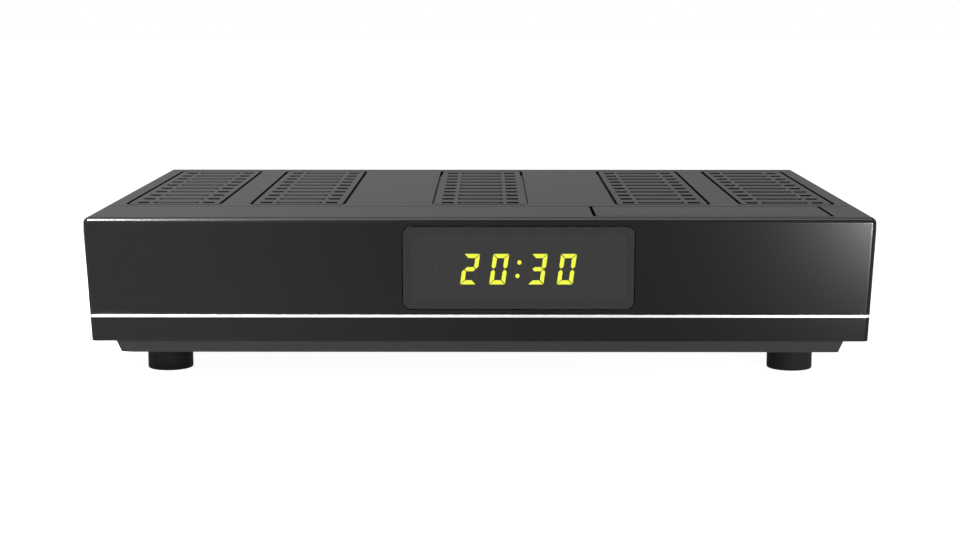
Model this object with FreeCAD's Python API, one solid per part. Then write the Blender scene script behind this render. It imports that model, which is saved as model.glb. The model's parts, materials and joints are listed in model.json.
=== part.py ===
import FreeCAD, Part
import math
import os

# Satellite television receiver, millimetres.
# X is the width, +Y points to the back, +Z up, and Z = 0 is the surface under the feet.

# ---------------------------------------------------------------- heights, from the floor up
foot_h = 6.2                # rubber foot, floor to tray
tray_drop = 3.9             # how far the slanted pan hangs below the case
skirt_h = 6.8               # lower edge of the case to the trim strip
strip_h = 0.75
strip_to_window = 1.55
window_h = 23.3
window_to_top = 2.5         # window to the top of the case

# ---------------------------------------------------------------- case shells
case_w = 221.4              # at the widest, just below the top edges
case_d = 150.0
wall = 2.0                  # top and side walls
front_wall = 2.5
edge_r = 1.6                # rounded outer edges of the case
side_land = 4.0             # upright stretch of the side, below the top
side_draft = 2.9            # degrees that the side leans in below that
seam_back = 29.6            # front of the case to the seam between bezel and cover
seam_gap = 0.6
seam_lip = 2.6              # how far the bezel's lip reaches under the cover
lip_t = 1.4
fit_gap = 0.3               # clearance between fitted parts

# ---------------------------------------------------------------- trim strip and window
strip_depth = 1.2           # channel for the strip, cut into the front wall
strip_proud = 0.3
strip_shadow = 0.3          # open gap above the strip
window_w = 64.7
window_x = 10.9             # the window sits right of the middle
window_r = 2.4
window_t = 1.5
window_line = 0.2           # open line round the window
window_ledge = 2.2          # ledge that the window rests on

# ---------------------------------------------------------------- display
digit_h = 8.6
digit_w = 4.4
digit_pitch = 8.15          # within a pair of digits
pair_pitch = 10.8           # across the colon
stroke = 1.15
segment_gap = 0.16
digit_slant = 8.0           # degrees
colon_off = 1.9             # colon dots above and below the digits' middle
digit_drop = 0.5            # digits lie this far below the window's middle
segment_t = 0.25
module_w = 34.0
module_h = 13.0
display_back = 0.45         # air between the window and the segments
board_back = 9.0            # front of the case to the front board
board_t = 1.6
front_board_w = 92.0
receiver_w = 6.0            # infrared receiver
receiver_h = 7.0
receiver_off = 22.5         # left of the window's middle
receiver_set = 2.5          # behind the display module's face
board_below = 2.5           # front board below the window
board_under = 6.0           # top of the window to the front board

# ---------------------------------------------------------------- key plate and its switches
key_w = 65.85
key_front = 5.0             # front of the case to the plate
key_right = 12.05           # plate to the right-hand end of the case
key_gap = 0.9
key_t = 2.0
key_corner_r = 1.2
hinge_drop = 4.5            # key hinge below the top
hinge_ahead = 3.2           # key hinge in front of the plate's rear edge
hinge_pin_r = 1.0
hinge_clear = 0.05
hinge_rim = 1.4             # material round the hinge pin in the bezel's ears
hinge_ear_t = 2.6
key_arm_t = 2.6
key_arm_rim = 1.0
key_stop_in = 4.0           # ends of the key to its stop lip
key_stop_t = 1.5
key_stop_reach = 1.6        # stop lip under the bezel's top, ahead of the key
switch_back = 15.0          # front of the case to the tactile switches
switch_spread = 34.0        # between the two switches
switch_w = 6.0
switch_h = 3.5
switch_floor = 1.0
stem_r = 1.75
stem_slack = 0.08           # stem to the well in its switch
stem_drop = 0.6             # free way under the stem
stem_show = 1.4             # stem above its switch
stem_clear = 0.12           # stem to key plate
key_post_h = 2.6            # posts under the plate that meet the stems
key_board_d = 13.0

# ---------------------------------------------------------------- ventilation
vent_pitch_x = 36.8         # outer field to the next
vent_edge = 19.7            # middle of the outer field to the side of the case
vent_w = 28.6               # groove loop, outside
vent_front = 4.0            # seam to the groove loop
vent_rear = 6.0             # groove loop to the back of the case
groove_w = 1.0
groove_depth = 0.9
groove_r = 3.0
corner_steps = 3            # straight pieces in a rounded corner of the groove
slot_l = 23.4
slot_w = 4.2
slot_pitch = 10.65
slot_margin = 6.1           # end of the groove loop to the first slot's middle
slot_end_run = 1.1          # an opening's ends slope at first, this far along the slot
slot_end_drop = 0.7         # and this far down, then drop straight
rib_t = 0.8                 # two ribs part a slot into three openings
blade_bay = 14.0            # the middle opening, which holds a louvre blade
blade_gap = 1.2             # open slit ahead of the blade

# ---------------------------------------------------------------- bottom tray
tray_side = 6.15            # case edge to the pan
tray_set = 3.0              # front and rear of the case to the pan
tray_slant = 1.5
tray_t = 2.0
foot_r = 6.45
foot_flare = 0.85
foot_flare_h = 0.8
foot_side = 21.35           # side of the case to a foot's axis
foot_set = 15.0             # front and rear of the case to a foot's axis
clip_back = 14.0            # main board's front to the tray's clips
post_in = 6.0               # main board's side and front edges to its posts
post_rear = 46.0            # main board's rear edge to its posts

# ---------------------------------------------------------------- main board and what it carries
board_post_h = 5.0
board_front = 50.0          # front of the case to the main board
board_rear = 3.6            # main board to the back of the case
chip_x = 6.0
chip_back = 34.0            # main board's front to the processor
chip_w = 21.0
chip_t = 1.6
sink_w = 30.0
sink_h = 9.0
sink_base = 1.8
fin_count = 8
fin_t = 1.2
memory_w = 9.0
memory_d = 13.0
memory_t = 1.1
can_h = 14.5
can_d = 42.0
can_side = 0.5              # can beyond the room of its jacks
lid_h = 3.0
CAPACITORS = ((14.0, 34.0, 5.0, 12.0), (30.0, 34.0, 4.0, 11.0))     # along, back, radius, height
INDUCTORS = ((26.0, 12.0), (40.0, 12.0))
inductor_w = 8.0
inductor_h = 4.5
ribbon_x = -20.0
ribbon_w = 20.0
ribbon_t = 0.5
ribbon_rise = 1.0           # ribbon's lowest run above the tray's flange
ribbon_bends = (0.16, 0.36, 0.68, 0.86)    # shares of the ribbon's run at which it bends
ribbon_plug_back = 4.0      # main board's front to the ribbon's connector
plug_rim = 2.0              # connector beyond the ribbon on each side
plug_d = 4.5
plug_h = 5.5

# ---------------------------------------------------------------- rear panel and its connectors
panel_t = 1.2
panel_inset = 0.5           # panel behind the rear edges of the shells
stop_w = 3.0                # stops in the cover's corners that the panel rests on
cut_gap = 0.25              # panel cut-outs round the connectors
row_end = 13.0              # right-hand end of the connector row to the panel's edge
socket_proud = 0.3          # mouths of the sockets outside the panel
tongue_recess = 1.5         # contact tongues behind the mouths
shell_t = 0.4               # sheet metal of the sockets
dc_w = 9.0
dc_h = 11.0
dc_d = 14.5
dc_hole_r = 2.75
dc_hole_d = 11.5
dc_pin_r = 1.0
coax_r = 4.15
coax_wall = 0.5
coax_core_r = 2.7
coax_recess = 0.6
coax_step = 0.5             # panel to the ring
coax_reach = 8.0            # jack behind the case
coax_up = 7.5               # jack axis above the main board
coax_w = 11.0
coax_block_d = 10.0
usb_w = 13.2
usb_h = 7.0
usb_d = 14.0
usb_tongue_side = 1.3
usb_tongue_up = 3.9
usb_tongue_t = 1.9
lan_w = 16.0
lan_h = 13.4
lan_d = 16.0
lan_mouth_w = 12.0
lan_mouth_h = 7.4
lan_mouth_up = 4.4
lan_mouth_d = 13.0
latch_w = 5.6
latch_h = 2.4
contact_count = 8
contact_pitch = 1.02
contact_w = 0.4
contact_l = 9.0
contact_h = 2.2
scart_w = 49.6
scart_h = 17.0
scart_d = 15.0
scart_cut = 5.0             # slanted corner
scart_wall = 1.3
scart_floor = 1.5
scart_gap = 1.8             # shroud to contact block
scart_recess = 0.5
scart_slots = 10            # contact slots in a row
scart_slot_pitch = 3.8
scart_slot_w = 0.9
scart_slot_h = 3.0
scart_slot_d = 3.0
scart_row_pitch = 5.4
hdmi_w = 15.4
hdmi_h = 6.2
hdmi_d = 12.0
hdmi_cut = 1.6
hdmi_tongue_w = 11.2
hdmi_tongue_t = 1.2
aerial_w = 14.0             # room for one aerial jack and its nut
aerial_r = 4.76             # 3/8 inch thread
thread_depth = 0.4
aerial_reach = 10.0         # jack behind the case
aerial_up = 8.0             # jack axis above the main board
jack_floor = 2.0
bore_sides = 20             # small bores are many-sided
insulator_r = 2.6
insulator_recess = 0.7
nut_flat = 11.0             # across flats
nut_t = 2.2
nut_clear = 0.05
nut_gap = 0.3               # nut to the start of the full thread

# ---------------------------------------------------------------- power rocker
rocker_flange_w = 10.5
rocker_flange_h = 15.0
rocker_rim = 1.0            # flange beyond the panel's cut-out
rocker_body_d = 9.0
rocker_well_d = 7.0
rocker_up = 11.0            # rocker axis above the main board
rocker_r = 5.9
rocker_w = 6.6
rocker_face = 3.4           # rocker's pivot to the flats of its face
rocker_in = 1.0             # rocker's pivot inside the panel's face
rocker_tilt = 12.0          # degrees each side of level
rocker_dish = 7.0           # each half of the face leans in by this
rocker_clear = 0.3
rocker_flange_t = 1.5
rocker_back = 3.2           # rocker's pivot to its flat back
rocker_pin_r = 0.9
rocker_pin_l = 0.6
rocker_pin_end = 0.1        # play at the ends of the pins

# ---------------------------------------------------------------- screws
screw_r = 1.4
screw_head_r = 2.7
screw_head_h = 1.5
screw_bite = 5.0            # pilot holes in the bosses
screw_spare = 0.5           # pilot hole beyond the screw's end
screw_sides = 12
can_sides = 16              # capacitors
dot_sides = 8               # dots of the colon
boss_w = 6.4                # square bosses and posts
boss_side = 15.2            # case side to the cover's screw bosses
hook_t = 2.4                # snap hooks of the bezel
hook_w = 5.0
hook_grip = 1.5
clip_air = 0.8              # cover's bosses to the main board

# ---------------------------------------------------------------- worked-out places
case_low = foot_h + tray_drop
strip_low = case_low + skirt_h
window_low = strip_low + strip_h + strip_to_window
window_z = window_low + window_h / 2
case_top = window_low + window_h + window_to_top
half_w = case_w / 2
lean = math.tan(math.radians(side_draft))
overall_d = strip_proud + case_d + aerial_reach
front_y = -overall_d / 2 + strip_proud
rear_y = front_y + case_d
seam_y = front_y + seam_back
ceiling = case_top - wall           # underside of the top walls
flange_low = case_low + fit_gap
flange_top = flange_low + tray_t
pan_floor = foot_h + tray_t
board_low = pan_floor + board_post_h
board_top = board_low + board_t
panel_y = rear_y - panel_inset      # outer face of the rear panel
panel_in = panel_y - panel_t
eps = 0.5                           # how far cutting tools run past a face


# ---------------------------------------------------------------- small helpers
def box(x0, x1, y0, y1, z0, z1):
    """Box between two corners."""
    return Part.makeBox(x1 - x0, y1 - y0, z1 - z0, FreeCAD.Vector(x0, y0, z0))


def rod(radius, start, axis, length):
    """Cylinder from a start point along an axis."""
    return Part.makeCylinder(radius, length, FreeCAD.Vector(*start), FreeCAD.Vector(*axis))


def join(shapes):
    """One shape from several that touch or overlap."""
    first = shapes[0]
    if len(shapes) == 1:
        return first
    return first.fuse(shapes[1:]).removeSplitter()


def plate(points, direction):
    """Flat outline of straight lines, extruded along a direction."""
    corners = [FreeCAD.Vector(*p) for p in points]
    face = Part.Face(Part.makePolygon(corners + [corners[0]]))
    return face.extrude(FreeCAD.Vector(*direction))


def prism(radius, start, axis, length, sides=screw_sides):
    """Many-sided rod along X, Y or Z, as wide across its flats as a round one of this radius."""
    reach = radius / math.cos(math.pi / sides)
    points = []
    for i in range(sides):
        turn = math.tau * (i + 0.5) / sides
        across = iter((reach * math.cos(turn), reach * math.sin(turn)))
        points.append([value if along else value + next(across) for value, along in zip(start, axis)])
    return plate(points, [length * along for along in axis])


def rounded_plate(cx, cz, w, h, r, y0, y1):
    """Upright plate with rounded corners, w wide along X and h high along Z."""
    block = box(cx - w / 2, cx + w / 2, y0, y1, cz - h / 2, cz + h / 2)
    along_y = [e for e in block.Edges if abs(e.tangentAt(0).y) > 0.99]
    return block.makeFillet(r, along_y)


def frustum(lower, upper, z0, z1):
    """Closed block between two level rectangles, each (x0, x1, y0, y1)."""
    def corners(rect, z):
        x0, x1, y0, y1 = rect
        return [FreeCAD.Vector(x, y, z) for x, y in ((x0, y0), (x1, y0), (x1, y1), (x0, y1))]
    low = corners(lower, z0)
    high = corners(upper, z1)
    loops = [low, high]
    for i in range(4):
        k = (i + 1) % 4
        loops.append([low[i], low[k], high[k], high[i]])
    faces = [Part.Face(Part.makePolygon(loop + [loop[0]])) for loop in loops]
    return Part.Solid(Part.Shell(faces))


def screw(point, axis, length):
    """Pan head screw: the head's underside is at the point, the shank runs along the axis."""
    head_at = [p - a * screw_head_h for p, a in zip(point, axis)]
    head = prism(screw_head_r, head_at, axis, screw_head_h)
    return head.fuse(prism(screw_r, point, axis, length)).removeSplitter()


# ---------------------------------------------------------------- the case's outer form
def side_x(z):
    """Half width of the case at a height, following the side's lean."""
    return half_w - max(0.0, case_top - side_land - z) * lean


def case_block(inset, low, y0, y1):
    """The case's cross-section, drawn in by an inset and extruded from y0 to y1."""
    top = case_top - inset
    land = case_top - side_land
    half = half_w - inset
    foot = side_x(low) - inset
    if inset > 0:
        loop = [(-foot, y0, low), (-half, y0, land), (-half, y0, top),
                (half, y0, top), (half, y0, land), (foot, y0, low)]
        return plate(loop, (0, y1 - y0, 0))
    mid = edge_r * (1 - math.sqrt(0.5))

    def at(x, z):
        return FreeCAD.Vector(x, y0, z)
    edges = [
        Part.LineSegment(at(-foot, low), at(-half, land)).toShape(),
        Part.LineSegment(at(-half, land), at(-half, top - edge_r)).toShape(),
        Part.Arc(at(-half, top - edge_r), at(-half + mid, top - mid), at(-half + edge_r, top)).toShape(),
        Part.LineSegment(at(-half + edge_r, top), at(half - edge_r, top)).toShape(),
        Part.Arc(at(half - edge_r, top), at(half - mid, top - mid), at(half, top - edge_r)).toShape(),
        Part.LineSegment(at(half, top - edge_r), at(half, land)).toShape(),
        Part.LineSegment(at(half, land), at(foot, low)).toShape(),
        Part.LineSegment(at(foot, low), at(-foot, low)).toShape(),
    ]
    return Part.Face(Part.Wire(edges)).extrude(FreeCAD.Vector(0, y1 - y0, 0))


def rounded_front(y0, y1):
    """The case's outer form with its front edges rounded, apart from the lower one."""
    block = case_block(0, case_low, y0, y1)
    front = []
    for edge in block.Edges:
        bounds = edge.BoundBox
        on_front = bounds.YMax < y0 + 0.01
        if on_front and bounds.ZMax > case_low + 0.01:
            front.append(edge)
    return block.makeFillet(edge_r, front)


# ---------------------------------------------------------------- places of the key plate
key_x1 = half_w - key_right
key_x0 = key_x1 - key_w
key_x = (key_x0 + key_x1) / 2
key_y0 = front_y + key_front
key_y1 = seam_y - seam_gap / 2
hinge_y = key_y1 - hinge_ahead
hinge_z = case_top - hinge_drop
key_under = case_top - key_t
stem_top = key_under - key_post_h - stem_clear
switch_low = stem_top - stem_show - switch_h     # top face of the key board
switch_y = front_y + switch_back
switch_xs = (key_x - switch_spread / 2, key_x + switch_spread / 2)
key_notch = (key_x0 - key_gap, key_x1 + key_gap)
ear_out = key_arm_t + hinge_ear_t + fit_gap
key_hook_xs = (key_notch[0] - ear_out - hook_t, key_notch[1] + hinge_ear_t + hook_t)


def front_bezel():
    """Front wall, top strip and side returns in one moulding, open behind and below."""
    shell = rounded_front(front_y, seam_y - seam_gap / 2)
    inside = case_block(wall, case_low - eps, front_y + front_wall, seam_y + eps)
    body = shell.cut(inside)

    window = rounded_plate(window_x, window_z, window_w + 2 * window_line, window_h + 2 * window_line,
                           window_r + window_line, front_y - eps, front_y + window_t)
    opening = rounded_plate(window_x, window_z, window_w - 2 * window_ledge, window_h - 2 * window_ledge,
                            window_r, front_y - eps, front_y + front_wall + eps)
    channel = box(-half_w - eps, half_w + eps, front_y - eps, front_y + strip_depth,
                  strip_low, strip_low + strip_h + strip_shadow)
    notch = box(key_notch[0], key_notch[1], key_y0 - key_gap, seam_y + eps, ceiling - eps, case_top + eps)
    body = body.cut([window, opening, channel, notch])

    lip_x = half_w - wall - edge_r
    lip_end = key_notch[0] - ear_out
    lip_low = ceiling - lip_t
    extras = [
        box(-lip_x, lip_end, seam_y - seam_lip, seam_y - seam_gap / 2, lip_low, ceiling),
        box(-lip_x, lip_end, seam_y - seam_lip, seam_y + seam_lip, lip_low, ceiling - fit_gap / 2),
    ]
    for side in (-1, 1):
        ear_in = key_notch[0] if side < 0 else key_notch[1]
        x0, x1 = sorted((ear_in, ear_in + side * hinge_ear_t))
        ear_h = hinge_pin_r + hinge_rim
        extras.append(box(x0, x1, hinge_y - ear_h, hinge_y + ear_h, hinge_z - ear_h, ceiling))
    for x in key_hook_xs:
        extras.append(board_hook(x))
    for side in (-1, 1):
        extras.append(front_hook(side))
        extras.append(tray_hook(side))
    body = join([body] + extras)
    return body.cut(rod(hinge_pin_r + hinge_clear, (key_notch[0] - hinge_ear_t - eps, hinge_y, hinge_z),
                        (1, 0, 0), key_w + 2 * (key_gap + hinge_ear_t + eps)))


def board_hook(x):
    """Post from the bezel's top wall that the key board hangs on, with a foot under the board."""
    post = box(x - hook_t / 2, x + hook_t / 2, switch_y - hook_w / 2, switch_y + hook_w / 2, switch_low, ceiling)
    side = 1 if x < key_x else -1
    outer = x - side * hook_t / 2
    x0, x1 = sorted((outer, outer - side * hook_t / 2))
    leg = box(x0, x1, switch_y - hook_w / 2, switch_y + hook_w / 2, switch_low - board_t - hook_t / 2, ceiling)
    x0, x1 = sorted((outer - side * hook_t / 2, outer + side * hook_grip))
    toe = box(x0, x1, switch_y - hook_w / 2, switch_y + hook_w / 2,
              switch_low - board_t - hook_t / 2, switch_low - board_t)
    return join([post, leg, toe])


def front_hook(side):
    """Snap hook behind the front wall that grips one end of the front board."""
    edge = window_x + side * front_board_w / 2
    y1 = front_board_y + board_t + hook_t / 2
    x0, x1 = sorted((edge, edge + side * hook_t))
    arm = box(x0, x1, front_y + front_wall, y1, window_z - hook_w, window_z)
    x0, x1 = sorted((edge - side * hook_grip, edge + side * hook_t))
    toe = box(x0, x1, front_board_y + board_t, y1, window_z - hook_w, window_z)
    x0, x1 = sorted((edge - side * hook_grip, edge + side * hook_t))
    seat = box(x0, x1, front_y + front_wall, front_board_y, window_z - hook_w, window_z)
    return join([arm, toe, seat])


def tray_hook(side):
    """Hook at the bezel's lower corner that rests on the tray's flange and grips its inner edge."""
    x = side * (tray_half - tray_t - hook_w)
    y0 = front_y + front_wall
    y1 = tray_y0 + tray_t + hook_t
    top = flange_top + hook_t
    arm = box(x - hook_w, x + hook_w, y0, y1, flange_top, top)
    toe = box(x - hook_w, x + hook_w, tray_y0 + tray_t + fit_gap, y1, flange_low, flange_top)
    return join([arm, toe])


# ---------------------------------------------------------------- places in the shells
cover_boss_x = half_w - boss_side
tray_half = side_x(case_low) - tray_side
tray_y0 = front_y + tray_set
tray_y1 = rear_y - tray_set
front_board_y = front_y + board_back


# ---------------------------------------------------------------- ventilated top cover
outer_field = half_w - vent_edge
field_xs = (-outer_field, -outer_field + vent_pitch_x, 0.0, outer_field - vent_pitch_x, outer_field)
field_y0 = seam_y + vent_front
field_y1 = rear_y - vent_rear
slot_count = int((field_y1 - field_y0 - 2 * slot_margin) / slot_pitch + 0.01) + 1
slot_ys = [field_y0 + slot_margin + i * slot_pitch for i in range(slot_count)]
mid_slot = slot_count // 2
cover_boss_ys = ((slot_ys[0] + slot_ys[1]) / 2, (slot_ys[mid_slot] + slot_ys[mid_slot + 1]) / 2)


def slot_opening(x0, x1, cy):
    """Cutting tool for one opening of a slot, from x0 to x1 at the cover's face."""
    low = ceiling - eps
    shoulder = case_top - slot_end_drop
    outline = [(x0, case_top + eps), (x0, case_top), (x0 + slot_end_run, shoulder), (x0 + slot_end_run, low),
               (x1 - slot_end_run, low), (x1 - slot_end_run, shoulder), (x1, case_top), (x1, case_top + eps)]
    return plate([(x, cy - slot_w / 2, z) for x, z in outline], (0, slot_w, 0))


def slot_openings(cx, cy):
    """The three openings of one slot, parted by its two ribs."""
    bay = blade_bay / 2
    end = slot_l / 2
    spans = ((-end, -bay - rib_t), (-bay, bay), (bay + rib_t, end))
    return [slot_opening(cx + x0, cx + x1, cy) for x0, x1 in spans]


def louvre_blade(cx, cy):
    """Blade that rises from the slit in its slot to the cover's face behind."""
    reach = blade_bay / 2 - slot_end_run
    back = cy + slot_w / 2
    outline = [(cy - slot_w / 2 + blade_gap, ceiling), (back, ceiling), (back, case_top)]
    return plate([(cx - reach, y, z) for y, z in outline], (2 * reach, 0, 0))


def groove_loop(cx):
    """Narrow groove round one ventilation field."""
    cy = (field_y0 + field_y1) / 2
    length = field_y1 - field_y0

    def block(inset):
        w = vent_w / 2 - inset
        d = length / 2 - inset
        r = groove_r - inset
        points = []
        for quarter, (sx, sy) in enumerate(((1, 1), (-1, 1), (-1, -1), (1, -1))):
            for step in range(corner_steps + 1):
                turn = math.radians(90 * (quarter + step / corner_steps))
                points.append((cx + sx * (w - r) + r * math.cos(turn),
                               cy + sy * (d - r) + r * math.sin(turn), case_top - groove_depth))
        return plate(points, (0, 0, groove_depth + eps))
    return block(0).cut(block(groove_w))


def top_cover():
    """Top and side walls behind the seam, with the slotted fields, louvre blades and screw bosses."""
    y0 = seam_y + seam_gap / 2
    body = case_block(0, case_low, y0, rear_y)
    body = body.cut(case_block(wall, case_low - eps, y0 - eps, rear_y + eps))
    tools = []
    blades = []
    for cx in field_xs:
        tools.append(groove_loop(cx))
        for cy in slot_ys:
            tools += slot_openings(cx, cy)
            blades.append(louvre_blade(cx, cy))
    body = body.cut(tools)

    bosses = []
    pilots = []
    for x in (-cover_boss_x, cover_boss_x):
        for y in cover_boss_ys:
            bosses.append(box(x - boss_w / 2, x + boss_w / 2, y - boss_w / 2, y + boss_w / 2, pan_floor, ceiling))
            pilots.append(prism(screw_r, (x, y, pan_floor - eps), (0, 0, 1), screw_bite + eps))
    for side in (-1, 1):
        x = side * (half_w - wall)
        x0, x1 = sorted((x, x - side * stop_w))
        bosses.append(box(x0, x1, panel_in - fit_gap - stop_w, panel_in - fit_gap, ceiling - stop_w, ceiling))
    return join([body] + blades + bosses).cut(pilots)


# ---------------------------------------------------------------- bottom tray and feet
board_half = cover_boss_x - boss_w / 2 - clip_air
board_y0 = front_y + board_front
board_y1 = rear_y - board_rear
post_xs = (-board_half + post_in, board_half - post_in)
post_ys = (board_y0 + post_in, board_y1 - post_rear)
panel_half = side_x(flange_top) - wall - fit_gap
case_screw_points = [(x, y) for x in (-cover_boss_x, cover_boss_x) for y in cover_boss_ys]
foot_xs = (-half_w + foot_side, half_w - foot_side)
foot_ys = (front_y + foot_set, rear_y - foot_set)


def pan_rect(inset):
    """Level rectangle of the pan's outline, drawn in by an inset."""
    return (-tray_half + inset, tray_half - inset, tray_y0 + inset, tray_y1 - inset)


def bottom_tray():
    """Flange between the case walls, and a slanted pan below it with posts for the main board."""
    flange_x = side_x(flange_low) - wall - fit_gap
    flange = box(-flange_x, flange_x, front_y + front_wall + fit_gap, rear_y, flange_low, flange_top)
    pan = frustum(pan_rect(tray_slant), pan_rect(0), foot_h, flange_low)
    hollow = frustum(pan_rect(tray_slant + tray_t), pan_rect(tray_t), pan_floor, flange_low)
    mouth = box(*pan_rect(tray_t), flange_low, flange_top + eps)
    body = flange.fuse(pan).removeSplitter().cut([hollow, mouth])
    posts = []
    for x in post_xs:
        for y in post_ys:
            posts.append(box(x - boss_w / 2, x + boss_w / 2, y - boss_w / 2, y + boss_w / 2, pan_floor, board_low))
    for side in (-1, 1):
        posts.append(board_clip(side))
    body = join([body] + posts)
    return body.cut([prism(screw_r + fit_gap, (x, y, foot_h - eps), (0, 0, 1), tray_t + 2 * eps)
                     for x, y in case_screw_points])


def board_clip(side):
    """Snap clip of the tray that grips one side edge of the main board."""
    y0 = board_y0 + clip_back
    outer = side * (board_half + fit_gap)
    x0, x1 = sorted((outer, outer + side * hook_t))
    arm = box(x0, x1, y0, y0 + hook_w, pan_floor, board_top + hook_t)
    x0, x1 = sorted((outer - side * (hook_grip + fit_gap), outer + side * hook_t))
    toe = box(x0, x1, y0, y0 + hook_w, board_top, board_top + hook_t)
    return join([arm, toe])


def rubber_feet():
    """Four round feet, each with a small flare where it meets the tray."""
    profile = [(0, 0), (foot_r, 0), (foot_r, foot_h - foot_flare_h), (foot_r + foot_flare, foot_h), (0, foot_h)]
    corners = [FreeCAD.Vector(x, 0, z) for x, z in profile]
    face = Part.Face(Part.makePolygon(corners + [corners[0]]))
    foot = face.revolve(FreeCAD.Vector(0, 0, 0), FreeCAD.Vector(0, 0, 1), 360)
    feet = []
    for x in foot_xs:
        for y in foot_ys:
            one = foot.copy()
            one.translate(FreeCAD.Vector(x, y, 0))
            feet.append(one)
    return Part.Compound(feet)


# ---------------------------------------------------------------- trim strip, window and display
def trim_strip():
    """Silver strip in the bezel's channel, a little proud of it and ending flush with the sides."""
    form = rounded_front(front_y - strip_proud, seam_y)
    slab = box(-half_w, half_w, front_y - strip_proud, front_y + strip_depth, strip_low, strip_low + strip_h)
    return form.common(slab)


def display_window():
    """Smoked window, flush with the front of the bezel."""
    return rounded_plate(window_x, window_z, window_w, window_h, window_r, front_y, front_y + window_t)


holder_w = window_w - 2 * window_ledge - 2 * fit_gap
holder_h = window_h - 2 * window_ledge - 2 * fit_gap
display_y = front_y + window_t + display_back
module_y = display_y + segment_t
digit_z = window_z - digit_drop
receiver_x = window_x - receiver_off
digit_xs = [window_x + side * (pair_pitch / 2 + far * digit_pitch)
            for side, far in ((-1, 1), (-1, 0), (1, 0), (1, 1))]
SHOWN = ("abged", "abcdef", "abgcd", "abcdef")     # the digits 2, 0, 3 and 0
ALL_SEGMENTS = "abcdefg"


def segment_outline(name):
    """Corners (x, z) of one segment of a digit, upright, from its lower left corner."""
    w, h, s, g = digit_w, digit_h, stroke, segment_gap
    mid = h / 2
    if name == "a":
        return [(g, h), (w - g, h), (w - s - g, h - s), (s + g, h - s)]
    if name == "d":
        return [(s + g, s), (w - s - g, s), (w - g, 0), (g, 0)]
    if name == "g":
        return [(s / 2 + g, mid), (s + g, mid + s / 2), (w - s - g, mid + s / 2),
                (w - s / 2 - g, mid), (w - s - g, mid - s / 2), (s + g, mid - s / 2)]
    upper_left = [(0, h - g), (s, h - s - g), (s, mid + s / 2 + g), (s / 2, mid + g), (0, mid + s / 2 + g)]
    if name == "f":
        return upper_left
    if name == "b":
        return [(w - x, z) for x, z in upper_left]
    if name == "e":
        return [(x, h - z) for x, z in upper_left]
    return [(w - x, h - z) for x, z in upper_left]


def display_segments(lit):
    """The lit or the unlit segments, as thin bars on the module's face, with the colon's dots."""
    slant = math.tan(math.radians(digit_slant))

    def lean_point(x, z, left):
        return (left + x + (z - digit_h / 2) * slant, module_y, digit_z - digit_h / 2 + z)
    bars = []
    for x, shown in zip(digit_xs, SHOWN):
        for name in ALL_SEGMENTS:
            if (name in shown) == lit:
                corners = [lean_point(px, pz, x - digit_w / 2) for px, pz in segment_outline(name)]
                bars.append(plate(corners, (0, -segment_t, 0)))
    if lit:
        for side in (-1, 1):
            z = digit_z + side * colon_off
            x = window_x + (z - digit_z) * slant
            bars.append(prism(stroke / 2, (x, module_y - segment_t, z), (0, 1, 0), segment_t, dot_sides))
    return Part.Compound(bars)


def display_holder():
    """Black frame that fills the opening behind the window and holds the display and the receiver."""
    body = rounded_plate(window_x, window_z, holder_w, holder_h, window_r, module_y, front_y + board_back)
    gap = fit_gap / 2
    module = box(window_x - module_w / 2 - gap, window_x + module_w / 2 + gap, module_y - eps,
                 front_y + board_back + eps, digit_z - module_h / 2 - gap, digit_z + module_h / 2 + gap)
    sensor = box(receiver_x - receiver_w / 2 - gap, receiver_x + receiver_w / 2 + gap, module_y - eps,
                 front_y + board_back + eps, digit_z - receiver_h / 2 - gap, digit_z + receiver_h / 2 + gap)
    return body.cut([module, sensor])


def display_module():
    """Display block that carries the segments and stands on the front board."""
    return box(window_x - module_w / 2, window_x + module_w / 2, module_y, front_y + board_back,
               digit_z - module_h / 2, digit_z + module_h / 2)


def infrared_receiver():
    """Remote-control receiver: a small block with a half-round lens."""
    face = module_y + receiver_set
    block = box(receiver_x - receiver_w / 2, receiver_x + receiver_w / 2, face,
                front_y + board_back, digit_z - receiver_h / 2, digit_z + receiver_h / 2)
    lens = rod(receiver_w / 3, (receiver_x, face, digit_z - receiver_h / 3), (0, 0, 1), 2 * receiver_h / 3)
    return join([block, lens])


front_board_low = window_low - board_below
front_board_top = window_low + window_h - board_under


def front_board():
    """Upright circuit board behind the display."""
    return box(window_x - front_board_w / 2, window_x + front_board_w / 2, front_board_y,
               front_board_y + board_t, front_board_low, front_board_top)


# ---------------------------------------------------------------- key plate, key board and switches
def key_plate():
    """Long key in the top of the bezel. It hangs on two pins at its rear and tips at its front."""
    panel = box(key_x0, key_x1, key_y0, key_y1, key_under, case_top)
    rear = [e for e in panel.Edges if abs(e.tangentAt(0).z) > 0.99 and e.BoundBox.YMin > key_y1 - 0.01]
    panel = panel.makeFillet(key_corner_r, rear)
    solids = [panel]
    arm_r = hinge_pin_r + key_arm_rim
    for side in (-1, 1):
        outer = key_x0 if side < 0 else key_x1
        x0, x1 = sorted((outer, outer - side * key_arm_t))
        solids.append(box(x0, x1, hinge_y - arm_r, hinge_y + arm_r, hinge_z - arm_r, key_under))
        pin_l = key_gap + hinge_ear_t
        solids.append(rod(hinge_pin_r, (outer, hinge_y, hinge_z), (side, 0, 0), pin_l))
    for x in switch_xs:
        solids.append(box(x - stem_r, x + stem_r, switch_y - stem_r, switch_y + stem_r,
                          key_under - key_post_h, key_under))
    stop_x = key_w / 2 - key_stop_in
    stop_low = key_under - key_t
    solids.append(box(key_x - stop_x, key_x + stop_x, key_y0, key_y0 + key_stop_t, stop_low, key_under))
    solids.append(box(key_x - stop_x, key_x + stop_x, key_y0 - key_stop_reach, key_y0 + key_stop_t,
                      stop_low, key_under - fit_gap))
    return join(solids)


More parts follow.
